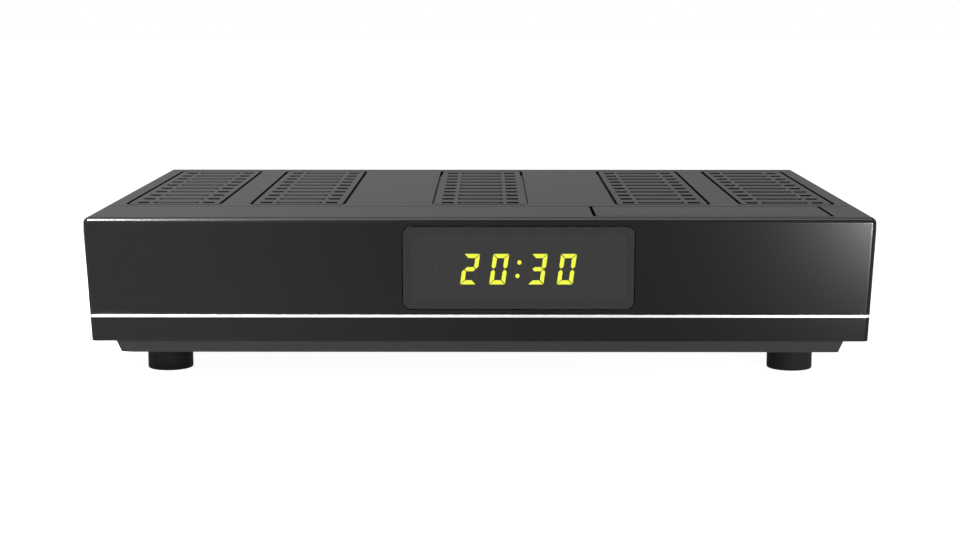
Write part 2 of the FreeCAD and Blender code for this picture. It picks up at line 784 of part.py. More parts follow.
key_board_x0 = key_hook_xs[0] - hook_t / 2
key_board_x1 = key_hook_xs[1] + hook_t / 2


def key_board():
    """Level circuit board under the key plate, held up against two hooks of the bezel."""
    return box(key_board_x0, key_board_x1, front_board_y + board_t + fit_gap,
               switch_y + key_board_d / 2, switch_low - board_t, switch_low)


def switch_bodies():
    """Housings of the two tactile switches, each open at the top for its stem."""
    bodies = []
    for x in switch_xs:
        block = box(x - switch_w / 2, x + switch_w / 2, switch_y - switch_w / 2, switch_y + switch_w / 2,
                    switch_low, switch_low + switch_h)
        well = prism(stem_r + stem_slack, (x, switch_y, switch_low + switch_floor), (0, 0, 1), switch_h)
        bodies.append(block.cut(well))
    return Part.Compound(bodies)


def switch_stems():
    """Stems of the two tactile switches, which the key plate's posts press down."""
    low = switch_low + switch_floor + stem_drop
    return Part.Compound([prism(stem_r, (x, switch_y, low), (0, 0, 1), stem_top - low) for x in switch_xs])


# ---------------------------------------------------------------- rear panel and the row of connectors
CONNECTOR_ROW = (("rocker", rocker_flange_w), ("dc", dc_w), ("coax", coax_w), ("usb", usb_w), ("lan", lan_w),
                 ("scart", scart_w), ("hdmi", hdmi_w), ("loop", aerial_w), ("aerial", aerial_w))


def connector_places():
    """Middle of each connector along X, with equal gaps between neighbours, left to right."""
    span = 2 * panel_half - row_end - sum(width for _, width in CONNECTOR_ROW)
    gap = span / len(CONNECTOR_ROW)
    places = {}
    x = -panel_half
    for name, width in CONNECTOR_ROW:
        places[name] = x + gap + width / 2
        x += gap + width
    return places


place = connector_places()
aerial_z = board_top + aerial_up
coax_block_y = panel_in - fit_gap
coax_length = rear_y + coax_reach - coax_block_y
coax_z = board_top + coax_up
rocker_z = board_top + rocker_up
rocker_y = panel_y - rocker_in
dc_z = board_top + dc_h / 2
cutout_w = rocker_flange_w - 2 * rocker_rim
cutout_h = rocker_flange_h - 2 * rocker_rim
socket_rear = panel_y + socket_proud           # mouths of the sockets


def centred(name, w, h, low, y0, y1, grow=0.0):
    """Block round a connector's place, w wide and h high from a lower edge, grown on all four sides."""
    x = place[name]
    return box(x - w / 2 - grow, x + w / 2 + grow, y0, y1, low - grow, low + h + grow)


def rear_panel():
    """Flat panel between the tray flange and the cover, with a cut-out for each connector."""
    low = flange_top
    top = ceiling - fit_gap
    land = case_top - side_land
    inner = wall + fit_gap
    loop = [(-(side_x(low) - inner), panel_in, low), (-(half_w - inner), panel_in, land),
            (-(half_w - inner), panel_in, top), (half_w - inner, panel_in, top),
            (half_w - inner, panel_in, land), (side_x(low) - inner, panel_in, low)]
    body = plate(loop, (0, panel_t, 0))
    y0 = panel_in - eps
    y1 = panel_y + eps
    tools = [
        centred("hdmi", hdmi_w, hdmi_h, board_top, y0, y1, cut_gap),
        centred("usb", usb_w, usb_h, board_top, y0, y1, cut_gap),
        centred("lan", lan_w, lan_h, board_top, y0, y1, cut_gap),
        centred("scart", scart_w, scart_h, board_top, y0, y1, cut_gap),
        centred("rocker", cutout_w, cutout_h, rocker_z - cutout_h / 2, y0, y1),
        centred("dc", dc_w, dc_h, board_top, y0, y1, cut_gap),
        rod(coax_r + cut_gap, (place["coax"], y0, coax_z), (0, 1, 0), panel_t + 2 * eps),
    ]
    for name in ("loop", "aerial"):
        tools.append(rod(aerial_r + cut_gap, (place[name], y0, aerial_z), (0, 1, 0), panel_t + 2 * eps))
    return body.cut(tools)


can_rear = panel_in - fit_gap
thread_y = panel_y + nut_t + nut_gap
root_r = aerial_r - thread_depth
can_x0 = place["loop"] - aerial_w / 2 - can_side
can_x1 = min(board_half, place["aerial"] + aerial_w / 2)


def tuner_can():
    """Screening can of the tuner, with a lid whose edges fold over its walls."""
    body = box(can_x0, can_x1, can_rear - can_d, can_rear, board_top, board_top + can_h)
    lid = box(can_x0 - shell_t, can_x1 + shell_t, can_rear - can_d - shell_t, can_rear,
              board_top + can_h - lid_h, board_top + can_h + shell_t)
    return join([body, lid])


def aerial_jack(name):
    """Aerial jack on the tuner can: a neck under the nut, the thread behind it, and a bore for the insulator."""
    length = rear_y + aerial_reach - can_rear
    neck = prism(root_r, (place[name], can_rear, aerial_z), (0, 1, 0), length, bore_sides)
    thread = rod(aerial_r, (place[name], thread_y, aerial_z), (0, 1, 0), rear_y + aerial_reach - thread_y)
    bore = prism(insulator_r, (place[name], can_rear + jack_floor, aerial_z), (0, 1, 0), length, bore_sides)
    return join([neck, thread]).cut(bore)


def aerial_insulators():
    """White insulators in the aerial jacks."""
    length = rear_y + aerial_reach - insulator_recess - can_rear - jack_floor
    return Part.Compound([prism(insulator_r, (place[name], can_rear + jack_floor, aerial_z), (0, 1, 0), length,
                                bore_sides) for name in ("loop", "aerial")])


def aerial_nuts():
    """Hexagon nuts that hold the aerial jacks to the rear panel."""
    nuts = []
    for name in ("loop", "aerial"):
        nut = prism(nut_flat / 2, (place[name], panel_y, aerial_z), (0, 1, 0), nut_t, 6)
        hole = prism(root_r + nut_clear, (place[name], panel_y - eps, aerial_z), (0, 1, 0), nut_t + 2 * eps,
                     bore_sides)
        nuts.append(nut.cut(hole))
    return Part.Compound(nuts)


def hdmi_outline(inset, y):
    """Corners of the picture socket, whose lower corners are cut off, drawn in by an inset."""
    x = place["hdmi"]
    w = hdmi_w / 2 - inset
    low = board_top + inset
    top = board_top + hdmi_h - inset
    return [(x - w, y, top), (x - w, y, low + hdmi_cut), (x - w + hdmi_cut, y, low),
            (x + w - hdmi_cut, y, low), (x + w, y, low + hdmi_cut), (x + w, y, top)]


def hdmi_socket():
    """Sheet-metal shell of the picture socket, open to the rear."""
    y0 = socket_rear - hdmi_d
    shell = plate(hdmi_outline(0, y0), (0, hdmi_d, 0))
    return shell.cut(plate(hdmi_outline(shell_t, y0 + shell_t), (0, hdmi_d, 0)))


def hdmi_tongue():
    """Contact tongue inside the picture socket."""
    low = board_top + (hdmi_h - hdmi_tongue_t) / 2
    return centred("hdmi", hdmi_tongue_w, hdmi_tongue_t, low, socket_rear - hdmi_d + shell_t,
                   socket_rear - tongue_recess)


def usb_socket():
    """Sheet-metal shell of the USB socket, open to the rear."""
    y0 = socket_rear - usb_d
    shell = centred("usb", usb_w, usb_h, board_top, y0, socket_rear)
    return shell.cut(centred("usb", usb_w, usb_h, board_top, y0 + shell_t, socket_rear + eps, -shell_t))


def usb_tongue():
    """Contact tongue inside the USB socket."""
    return centred("usb", usb_w - 2 * usb_tongue_side, usb_tongue_t, board_top + usb_tongue_up,
                   socket_rear - usb_d + shell_t, socket_rear - tongue_recess)


lan_low = board_top + lan_mouth_up
lan_y0 = socket_rear - lan_mouth_d


def network_socket():
    """Network socket: a block with the mouth for the plug and the notch for its latch."""
    body = centred("lan", lan_w, lan_h, board_top, socket_rear - lan_d, socket_rear)
    mouth = centred("lan", lan_mouth_w, lan_mouth_h, lan_low, lan_y0, socket_rear + eps)
    latch = centred("lan", latch_w, latch_h + eps, lan_low - latch_h, lan_y0, socket_rear + eps)
    return body.cut([mouth, latch])


def network_contacts():
    """Sprung contacts at the top of the network socket's mouth."""
    bars = []
    top = lan_low + lan_mouth_h
    for i in range(contact_count):
        x = place["lan"] + (i - (contact_count - 1) / 2) * contact_pitch - contact_w / 2
        loop = [(x, lan_y0, top), (x, lan_y0 + contact_l, top), (x, lan_y0, top - contact_h)]
        bars.append(plate(loop, (contact_w, 0, 0)))
    return Part.Compound(bars)


def scart_outline(inset, y):
    """Corners of the picture and sound socket, with its slanted corner, drawn in by an inset."""
    x = place["scart"]
    w = scart_w / 2 - inset
    low = board_top + inset
    top = board_top + scart_h - inset
    cut = scart_cut - inset * (2 - math.sqrt(2))
    return [(x - w, y, top), (x - w, y, low), (x + w - cut, y, low), (x + w, y, low + cut), (x + w, y, top)]


def scart_socket():
    """Shroud of the picture and sound socket."""
    y0 = socket_rear - scart_d
    body = plate(scart_outline(0, y0), (0, scart_d, 0))
    return body.cut(plate(scart_outline(scart_wall, y0 + scart_floor), (0, scart_d, 0)))


def scart_contact_block():
    """Insulating block inside the shroud, with two rows of contact slots in its face."""
    y0 = socket_rear - scart_d + scart_floor
    face = socket_rear - scart_recess
    block = plate(scart_outline(scart_wall + scart_gap, y0), (0, face - y0, 0))
    slots = []
    for side in (-1, 1):
        z = board_top + scart_h / 2 + side * scart_row_pitch / 2
        for i in range(scart_slots):
            x = place["scart"] + (i - (scart_slots - 1) / 2) * scart_slot_pitch + side * scart_slot_w / 2
            slots.append(box(x - scart_slot_w / 2, x + scart_slot_w / 2, face - scart_slot_d, face + eps,
                             z - scart_slot_h / 2, z + scart_slot_h / 2))
    return block.cut(slots)


def coax_jack():
    """Metal barrel of the digital sound jack: a neck through the panel, and the ring that the plug grips."""
    neck = prism(coax_core_r + coax_wall, (place["coax"], coax_block_y, coax_z), (0, 1, 0), coax_length, bore_sides)
    ring_y = panel_y + coax_step
    ring = rod(coax_r, (place["coax"], ring_y, coax_z), (0, 1, 0), rear_y + coax_reach - ring_y)
    inside = prism(coax_r - coax_wall, (place["coax"], ring_y + coax_wall, coax_z), (0, 1, 0), coax_length,
                   bore_sides)
    hollow = prism(coax_core_r, (place["coax"], panel_y, coax_z), (0, 1, 0), coax_length, bore_sides)
    return join([neck, ring]).cut([inside, hollow])


def coax_block():
    """Plastic block that carries the sound jack on the main board."""
    return centred("coax", coax_w, coax_up + coax_w / 2, board_top, coax_block_y - coax_block_d, coax_block_y)


def coax_core():
    """Insulator at the heart of the sound jack."""
    return prism(coax_core_r, (place["coax"], panel_y, coax_z), (0, 1, 0), coax_reach - coax_recess, bore_sides)


def dc_inlet():
    """Inlet for the low-voltage supply's plug, with its round mouth level with the panel."""
    block = centred("dc", dc_w, dc_h, board_top, socket_rear - dc_d, socket_rear)
    return block.cut(prism(dc_hole_r, (place["dc"], socket_rear - dc_hole_d, dc_z), (0, 1, 0), dc_d, bore_sides))


def dc_pin():
    """Centre pin of the supply inlet."""
    return prism(dc_pin_r, (place["dc"], socket_rear - dc_hole_d, dc_z), (0, 1, 0), dc_hole_d - tongue_recess)


well_w = rocker_w + 2 * rocker_clear
well_h = 2 * (rocker_r + rocker_clear)


def power_switch_body():
    """Housing of the power switch: a flange on the panel and a well with two pin holes."""
    x = place["rocker"]
    flange = box(x - rocker_flange_w / 2, x + rocker_flange_w / 2, panel_y, panel_y + rocker_flange_t,
                 rocker_z - rocker_flange_h / 2, rocker_z + rocker_flange_h / 2)
    neck = centred("rocker", cutout_w, cutout_h, rocker_z - cutout_h / 2, panel_in - rocker_body_d, panel_y,
                   -fit_gap / 2)
    well = centred("rocker", well_w, well_h, rocker_z - well_h / 2, panel_in - rocker_well_d,
                   panel_y + rocker_flange_t + eps)
    reach = rocker_w / 2 + rocker_pin_l + rocker_pin_end
    holes = rod(rocker_pin_r + hinge_clear, (x - reach, rocker_y, rocker_z), (1, 0, 0), 2 * reach)
    return flange.fuse(neck).removeSplitter().cut([well, holes])


def power_rocker():
    """Rocker: a round-backed paddle whose face is two flats that lean in to the middle."""
    x = place["rocker"]
    tilt = math.radians(rocker_tilt)
    disc = rod(rocker_r, (x - rocker_w / 2, rocker_y, rocker_z), (1, 0, 0), rocker_w)
    far = 3 * rocker_r
    dip = far * math.tan(math.radians(rocker_dish))
    valley = rocker_face - rocker_r * math.tan(math.radians(rocker_dish)) / 2
    tools = [
        [(valley, 0), (valley + dip, far), (far + dip, far), (far + dip, -far), (valley + dip, -far)],
        [(-rocker_back, -far), (-rocker_back, far), (-far, far), (-far, -far)],
    ]
    for outline in tools:
        points = []
        for out, up in outline:
            y = rocker_y + out * math.cos(tilt) - up * math.sin(tilt)
            z = rocker_z + out * math.sin(tilt) + up * math.cos(tilt)
            points.append((x - rocker_w, y, z))
        disc = disc.cut(plate(points, (2 * rocker_w, 0, 0)))
    length = rocker_w + 2 * rocker_pin_l
    pins = rod(rocker_pin_r, (x - length / 2, rocker_y, rocker_z), (1, 0, 0), length)
    return join([disc, pins])


# ---------------------------------------------------------------- main board and the parts on it
def main_board():
    """Main circuit board on the tray's posts, reaching back under the connectors."""
    return box(-board_half, board_half, board_y0, board_y1, board_low, board_top)


chip_y = board_y0 + chip_back


def on_board(x, y, w, d, h, low=board_top):
    """Block standing on the main board, centred on a point."""
    return box(x - w / 2, x + w / 2, y - d / 2, y + d / 2, low, low + h)


def processor_chip():
    """Main processor under the heat sink."""
    return on_board(chip_x, chip_y, chip_w, chip_w, chip_t)


def heat_sink():
    """Finned heat sink on the processor."""
    low = board_top + chip_t
    parts = [on_board(chip_x, chip_y, sink_w, sink_w, sink_base, low)]
    step = (sink_w - fin_t) / (fin_count - 1)
    for i in range(fin_count):
        x = chip_x - sink_w / 2 + fin_t / 2 + i * step
        parts.append(on_board(x, chip_y, fin_t, sink_w, sink_h, low))
    return join(parts)


def memory_chips():
    """Two memory chips beside the processor."""
    away = sink_w / 2 + memory_w
    return Part.Compound([on_board(chip_x + side * away, chip_y, memory_w, memory_d, memory_t)
                          for side in (-1, 1)])


def capacitors():
    """Round electrolytic capacitors of the supply, between the inlet and the processor."""
    return Part.Compound([prism(r, (x - board_half, board_y0 + y, board_top), (0, 0, 1), h, can_sides)
                          for x, y, r, h in CAPACITORS])


def inductors():
    """Square power inductors beside the capacitors."""
    return Part.Compound([on_board(x - board_half, board_y0 + y, inductor_w, inductor_w, inductor_h)
                          for x, y in INDUCTORS])


# ---------------------------------------------------------------- ribbon cable between the boards
rear_plug_y = board_y0 + ribbon_plug_back
front_plug_z = front_board_low + plug_rim


def board_connectors():
    """Ribbon connectors, one on the main board and one behind the front board."""
    half = ribbon_w / 2 + plug_rim
    rear = box(ribbon_x - half, ribbon_x + half, rear_plug_y, rear_plug_y + plug_d,
               board_top, board_top + plug_h)
    front_face = front_board_y + board_t
    front = box(ribbon_x - half, ribbon_x + half, front_face, front_face + plug_h,
                front_plug_z, front_plug_z + plug_d)
    return Part.Compound([rear, front])


def ribbon_cable():
    """Flat cable from the main board's connector, down to the tray and up to the front board."""
    y_front = front_board_y + board_t + plug_h
    z_rear = board_top + plug_h / 2
    z_front = front_plug_z + plug_d / 2
    low = flange_top + ribbon_rise
    run = rear_plug_y - y_front
    shares = (0, *ribbon_bends, 1)
    heights = (z_rear, z_rear, low, low, z_front, z_front)
    line = [(rear_plug_y - share * run, z) for share, z in zip(shares, heights)]
    over = [(ribbon_x - ribbon_w / 2, y, z + ribbon_t / 2) for y, z in line]
    under = [(ribbon_x - ribbon_w / 2, y, z - ribbon_t / 2) for y, z in reversed(line)]
    return plate(over + under, (ribbon_w, 0, 0))


# ---------------------------------------------------------------- screws
def case_screws():
    """Screws from below, through the tray into the cover's bosses."""
    return Part.Compound([screw((x, y, foot_h), (0, 0, 1), tray_t + screw_bite - screw_spare)
                          for x, y in case_screw_points])


# ---------------------------------------------------------------- every node and its shape
def build():
    """Make every sub-part, keyed by its node's name."""
    return {
        "front_bezel": front_bezel(),
        "top_cover": top_cover(),
        "bottom_tray": bottom_tray(),
        "rear_panel": rear_panel(),
        "rubber_feet": rubber_feet(),
        "trim_strip": trim_strip(),
        "display_window": display_window(),
        "lit_segments": display_segments(True),
        "unlit_segments": display_segments(False),
        "display_holder": display_holder(),
        "display_module": display_module(),
        "infrared_receiver": infrared_receiver(),
        "front_board": front_board(),
        "key_plate": key_plate(),
        "key_board": key_board(),
        "switch_bodies": switch_bodies(),
        "switch_stems": switch_stems(),
        "tuner_can": tuner_can(),
        "aerial_input_jack": aerial_jack("aerial"),
        "aerial_loop_jack": aerial_jack("loop"),
        "aerial_insulators": aerial_insulators(),
        "aerial_nuts": aerial_nuts(),
        "hdmi_socket": hdmi_socket(),
        "hdmi_tongue": hdmi_tongue(),
        "usb_socket": usb_socket(),
        "usb_tongue": usb_tongue(),
        "network_socket": network_socket(),
        "network_contacts": network_contacts(),
        "scart_socket": scart_socket(),
        "scart_contact_block": scart_contact_block(),
        "coax_jack": coax_jack(),
        "coax_block": coax_block(),
        "coax_core": coax_core(),
        "dc_inlet": dc_inlet(),
        "dc_pin": dc_pin(),
        "power_switch_body": power_switch_body(),
        "power_rocker": power_rocker(),
        "main_board": main_board(),
        "processor_chip": processor_chip(),
        "heat_sink": heat_sink(),
        "memory_chips": memory_chips(),
        "capacitors": capacitors(),
        "inductors": inductors(),
        "board_connectors": board_connectors(),
        "ribbon_cable": ribbon_cable(),
        "case_screws": case_screws(),
    }


os.makedirs("parts", exist_ok=True)
for node, shape in build().items():
    shape.exportStep("parts/" + node + ".step")
print("case top", case_top, "key hinge", key_x, hinge_y, hinge_z, "rocker", place["rocker"], rocker_y, rocker_z)
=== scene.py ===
# %% [markdown]
# # Dressing a satellite receiver
# The construction already exists as a fixed frame: shells, boards, sockets, keys, all in metres.
# This lesson gives every visible piece the small rounds, fine relief and finishes that the real
# object has, and then sets up a camera and a plain studio. Each step first says what the real
# thing is like, then how a surface can be worked out for it with whole arrays of points, and why
# it is done that way.

# %% Load the frame
import json
import math

import bmesh
import bpy
import numpy as np
from mathutils import Matrix, Vector


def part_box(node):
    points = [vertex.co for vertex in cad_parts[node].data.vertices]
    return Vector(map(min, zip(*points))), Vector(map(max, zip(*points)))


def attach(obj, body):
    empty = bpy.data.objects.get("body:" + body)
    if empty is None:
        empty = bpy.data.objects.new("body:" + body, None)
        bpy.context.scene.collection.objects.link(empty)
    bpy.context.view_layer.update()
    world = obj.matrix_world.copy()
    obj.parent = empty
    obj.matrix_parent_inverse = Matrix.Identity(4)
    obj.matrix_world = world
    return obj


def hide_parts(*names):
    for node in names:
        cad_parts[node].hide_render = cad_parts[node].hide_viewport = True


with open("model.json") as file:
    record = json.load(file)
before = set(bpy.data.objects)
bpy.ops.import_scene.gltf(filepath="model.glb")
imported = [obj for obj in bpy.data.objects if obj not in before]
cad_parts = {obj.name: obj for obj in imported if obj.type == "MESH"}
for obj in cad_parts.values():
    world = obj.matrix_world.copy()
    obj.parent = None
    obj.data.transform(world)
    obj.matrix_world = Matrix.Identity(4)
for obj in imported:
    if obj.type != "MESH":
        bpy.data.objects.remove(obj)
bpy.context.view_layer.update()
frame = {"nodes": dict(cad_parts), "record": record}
nodes = frame["nodes"]
MM = 0.001

# %% [markdown]
# ## Camera
# The receiver is seen from the front, a little above its top. A long lens from half a metre away
# keeps the sides nearly upright but still lets the top converge. A camera's place and tilt could
# be found by eye; here they were worked out from the lines of the case, whose size is known.

# %% Camera
LENS = 72.2                       # millimetres
SENSOR = 36.0                     # width in millimetres that the lens belongs to
STAND_OFF = 532.4                 # millimetres from the front of the case
EYE_HEIGHT = 61.2                 # millimetres above the top of the case
EYE_RIGHT = 2.6                   # millimetres right of the middle
LOOK_DOWN = 8.11                  # degrees
TURN = 0.265                      # degrees to the left
NEAREST = 0.01                    # metres, what stands nearer isn't drawn


def place_object(name, data):
    """New object in the scene that shows the given data."""
    made = bpy.data.objects.new(name, data)
    bpy.context.scene.collection.objects.link(made)
    return made


camera_data = bpy.data.cameras.new("camera")
camera_data.lens = LENS
camera_data.sensor_width = SENSOR
camera_data.clip_start = NEAREST
camera = place_object("camera", camera_data)
front_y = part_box("front_bezel")[0].y
case_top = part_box("top_cover")[1].z
camera.location = (EYE_RIGHT * MM, front_y - STAND_OFF * MM, case_top + EYE_HEIGHT * MM)
camera.rotation_euler = (math.radians(90 - LOOK_DOWN), 0, math.radians(TURN))
bpy.context.scene.camera = camera
print("camera stands at", [round(c, 4) for c in camera.location])

# %% [markdown]
# ## Node groups for shared effects
# Injection-moulded plastic has a fine spark-eroded grain, its gloss drifts a little over a hand's
# width, and its colour isn't perfectly even. Those three effects come back in nearly every
# material, so each is a node group that is built once and placed with other values. They could
# also be painted as pictures, but a group has no seams and keeps its detail from near.


# %% Helpers for node trees
def new_group(name, inputs, output):
    """Empty shader node group; its sockets are (name, kind) or (name, kind, value) entries."""
    group = bpy.data.node_groups.new(name, "ShaderNodeTree")
    for entry in inputs:
        socket = group.interface.new_socket(entry[0], in_out="INPUT",
                                            socket_type="NodeSocket" + entry[1])
        if len(entry) > 2:
            socket.default_value = entry[2]
    group.interface.new_socket(output[0], in_out="OUTPUT", socket_type="NodeSocket" + output[1])
    start = group.nodes.new("NodeGroupInput")
    end = group.nodes.new("NodeGroupOutput")
    return group, start, end


def add_node(tree, kind, settings=(), values=()):
    """Node with properties set from (name, value) pairs and sockets from (name, value) pairs."""
    node = tree.nodes.new(kind)
    for key, value in settings:
        setattr(node, key, value)
    for key, value in values:
        node.inputs[key].default_value = value
    return node


def math_node(tree, operation, first, second):
    """Math node whose inputs are either sockets or numbers."""
    node = add_node(tree, "ShaderNodeMath", [("operation", operation)])
    for index, value in enumerate((first, second)):
        if isinstance(value, (int, float)):
            node.inputs[index].default_value = value
        else:
            tree.links.new(value, node.inputs[index])
    return node.outputs[0]


def noise_drift(tree, start, density, detail, amount):
    """(noise - 1/2) * amount, the amount being one of the group's own inputs, given by name."""
    patches = add_node(tree, "ShaderNodeTexNoise", values=[("Scale", density), ("Detail", detail)])
    tree.links.new(start.outputs["Position"], patches.inputs["Vector"])
    centred = math_node(tree, "SUBTRACT", patches.outputs["Fac"], 0.5)
    return math_node(tree, "MULTIPLY", centred, start.outputs[amount])


# %% Grain, gloss drift and tone drift
COARSE_DETAIL, COARSE_ROUGHNESS = 2.0, 0.6
FINE_DETAIL = 1.0
FINER = 2.7                       # the fine noise of the grain is this much denser
FINE_SHARE = 0.5                  # and has this share of the coarse one's weight
GLOSS_PATCHES, GLOSS_DETAIL = 35.0, 3.0    # patches to the metre
TONE_PATCHES, TONE_DETAIL = 60.0, 4.0
USUAL_TONE = 0.08                 # the tone wanders by four percent either way


def make_grain():
    """Height of a moulded grain: two sizes of noise, the finer one at half the weight."""
    inputs = [("Position", "Vector"), ("Density", "Float")]
    tree, start, end = new_group("moulded_grain", inputs, ("Height", "Float"))
    coarse = add_node(tree, "ShaderNodeTexNoise",
                      values=[("Detail", COARSE_DETAIL), ("Roughness", COARSE_ROUGHNESS)])
    tree.links.new(start.outputs["Position"], coarse.inputs["Vector"])
    tree.links.new(start.outputs["Density"], coarse.inputs["Scale"])
    fine = add_node(tree, "ShaderNodeTexNoise", values=[("Detail", FINE_DETAIL)])
    tree.links.new(start.outputs["Position"], fine.inputs["Vector"])
    fine_density = math_node(tree, "MULTIPLY", start.outputs["Density"], FINER)
    tree.links.new(fine_density, fine.inputs["Scale"])
    weaker = math_node(tree, "MULTIPLY", fine.outputs["Fac"], FINE_SHARE)
    tree.links.new(math_node(tree, "ADD", coarse.outputs["Fac"], weaker), end.inputs["Height"])
    return tree


def make_gloss_drift():
    """Roughness that wanders about a middle value, in patches some centimetres across."""
    inputs = [("Position", "Vector"), ("Middle", "Float"), ("Spread", "Float")]
    tree, start, end = new_group("gloss_drift", inputs, ("Roughness", "Float"))
    swing = noise_drift(tree, start, GLOSS_PATCHES, GLOSS_DETAIL, "Spread")
    rough = math_node(tree, "ADD", swing, start.outputs["Middle"])
    tree.links.new(rough, end.inputs["Roughness"])
    return tree


def make_tone_drift():
    """Colour that is a few percent lighter or darker from place to place."""
    inputs = [("Position", "Vector"), ("Colour", "Color"), ("Amount", "Float", USUAL_TONE)]
    tree, start, end = new_group("tone_drift", inputs, ("Colour", "Color"))
    swing = noise_drift(tree, start, TONE_PATCHES, TONE_DETAIL, "Amount")
    scaled = add_node(tree, "ShaderNodeVectorMath", [("operation", "SCALE")])
    tree.links.new(start.outputs["Colour"], scaled.inputs[0])
    tree.links.new(math_node(tree, "ADD", swing, 1.0), scaled.inputs["Scale"])
    tree.links.new(scaled.outputs[0], end.inputs["Colour"])
    return tree


GRAIN = make_grain()
GLOSS_DRIFT = make_gloss_drift()
TONE_DRIFT = make_tone_drift()
print("node groups:", [group.name for group in bpy.data.node_groups])


# %% [markdown]
# A circuit board needs one effect more: under its green lacquer the copper tracks show as paler
# lines between darker fields. Cells measured along the axes give straight edges, as tracks have.

# %% Board tracks
TRACK_CELLS = 190.0               # to the metre
TRACK_BANDS = 7.0                 # how fast a band follows the next from a cell's middle out
TRACK_FROM = 0.62                 # a band is track where the wave is above this height


def make_tracks():
    """Lacquer colour, paler where a wave of the distance to the nearest cell middle is high."""
    inputs = [("Position", "Vector"), ("Lacquer", "Color"), ("Track", "Color")]
    tree, start, end = new_group("board_tracks", inputs, ("Colour", "Color"))
    cells = add_node(tree, "ShaderNodeTexVoronoi", [("feature", "F1"), ("distance", "CHEBYCHEV")],
                     [("Scale", TRACK_CELLS)])
    tree.links.new(start.outputs["Position"], cells.inputs["Vector"])
    spread = math_node(tree, "MULTIPLY", cells.outputs["Distance"], TRACK_BANDS)
    wave = math_node(tree, "PINGPONG", spread, 1.0)
    mix = add_node(tree, "ShaderNodeMix", [("data_type", "RGBA")])
    tree.links.new(math_node(tree, "GREATER_THAN", wave, TRACK_FROM), mix.inputs["Factor"])
    tree.links.new(start.outputs["Lacquer"], mix.inputs["A"])
    tree.links.new(start.outputs["Track"], mix.inputs["B"])
    tree.links.new(mix.outputs["Result"], end.inputs["Colour"])
    return tree


TRACKS = make_tracks()
print("node groups:", [group.name for group in bpy.data.node_groups])

# %% [markdown]
# ## Finishes
# Every finish is a Principled material. The groups feed its colour, roughness and bump; whatever
# is the same all over stands on the shader's own sockets, because a constant that comes through a
# node is lost when the model is exported.

# %% One function that makes a finish
FINISHES = {}


def new_finish(name):
    """New Principled material with a node for places on the object; gives its tree and shader."""
    material = bpy.data.materials.new(name)
    FINISHES[name] = material
    material.use_nodes = True
    tree = material.node_tree
    tree.nodes.new("ShaderNodeTexCoord")
    return tree, tree.nodes["Principled BSDF"]


def add_group(tree, group, values):
    """Node of a shared group that reads places on the object, with (name, value) pairs set."""
    node = add_node(tree, "ShaderNodeGroup", [("node_tree", group)], values)
    tree.links.new(tree.nodes["Texture Coordinate"].outputs["Object"], node.inputs["Position"])
    return node


def finish(name, colour, roughness, spread=0.06, metallic=0.0, density=2500.0, relief=0.01,
           depth=0.15, specular=0.5, coat=0.0, coat_rough=0.22, coat_ior=1.5):
    """Principled material with drifting tone and gloss and a fine grain.

    Relief is the height of the grain in mm, depth the share of it that shows, and density how
    many bumps there are to the metre.
    """
    tree, shader = new_finish(name)
    shader.inputs["Metallic"].default_value = metallic
    shader.inputs["Specular IOR Level"].default_value = specular
    shader.inputs["Coat Weight"].default_value = coat
    shader.inputs["Coat Roughness"].default_value = coat_rough
    shader.inputs["Coat IOR"].default_value = coat_ior
    tint = add_group(tree, TONE_DRIFT, [("Colour", (*colour, 1.0))])
    tree.links.new(tint.outputs["Colour"], shader.inputs["Base Color"])
    gloss = add_group(tree, GLOSS_DRIFT, [("Middle", roughness), ("Spread", spread)])
    tree.links.new(gloss.outputs["Roughness"], shader.inputs["Roughness"])
    grain = add_group(tree, GRAIN, [("Density", density)])
    bump = add_node(tree, "ShaderNodeBump", values=[("Strength", depth), ("Distance", relief * MM)])
    tree.links.new(grain.outputs["Height"], bump.inputs["Height"])
    tree.links.new(bump.outputs["Normal"], shader.inputs["Normal"])
    return tree, shader


# %% [markdown]
# A black moulding returns well under one percent of the light in its depth. What the eye calls
# its grey is the surround mirrored in its skin. That skin is a Coat here: its weight sets how
# grey the case looks, its index how much paler the top is at a flat angle than the front, and its
# roughness how far a lamp's image spreads. The shader's own specular level is zero, because a
# second, rougher reflection would turn the whole top pale whenever a lamp stands anywhere near
# it. The tray has a stronger skin, so it looks lighter than the skirt above it.

# %% Plastics and rubber
SKIN = {"specular": 0.0, "coat_rough": 0.2, "coat_ior": 1.75}
finish("case_black", (0.003, 0.003, 0.0031), 0.5, spread=0.04, coat=0.22, **SKIN)
finish("tray_black", (0.005, 0.005, 0.0051), 0.5, coat=0.62, **SKIN)
finish("panel_black", (0.016, 0.016, 0.0165), 0.55, density=1800.0, depth=0.3, specular=0.25)
finish("foot_rubber", (0.010, 0.010, 0.010), 0.75, density=1500.0, depth=0.3, specular=0.1)
finish("inner_black", (0.0025, 0.0025, 0.0026), 0.6, depth=0.05, specular=0.05)
finish("rocker_black", (0.014, 0.014, 0.014), 0.3, depth=0.05)
finish("chip_black", (0.025, 0.025, 0.026), 0.6)
finish("lens_dark", (0.02, 0.012, 0.025), 0.12, relief=0.002)
finish("unlit_grey", (0.16, 0.16, 0.16), 0.5, depth=0.05)
finish("stem_white", (0.7, 0.7, 0.68), 0.4)
finish("insulator_white", (0.78, 0.77, 0.73), 0.45, depth=0.05)
finish("insulator_orange", (0.75, 0.24, 0.04), 0.45, depth=0.05)
finish("capacitor_sleeve", (0.02, 0.02, 0.04), 0.25)
finish("ribbon_grey", (0.42, 0.42, 0.43), 0.5)
print(len(FINISHES), "plastics")

# %% [markdown]
# Sheet metal, plating and castings have no colour under their gloss: the metal itself tints what
# it mirrors. Tinned sheet has crystals wider than the grain of a moulding, so its noise is less
# dense.

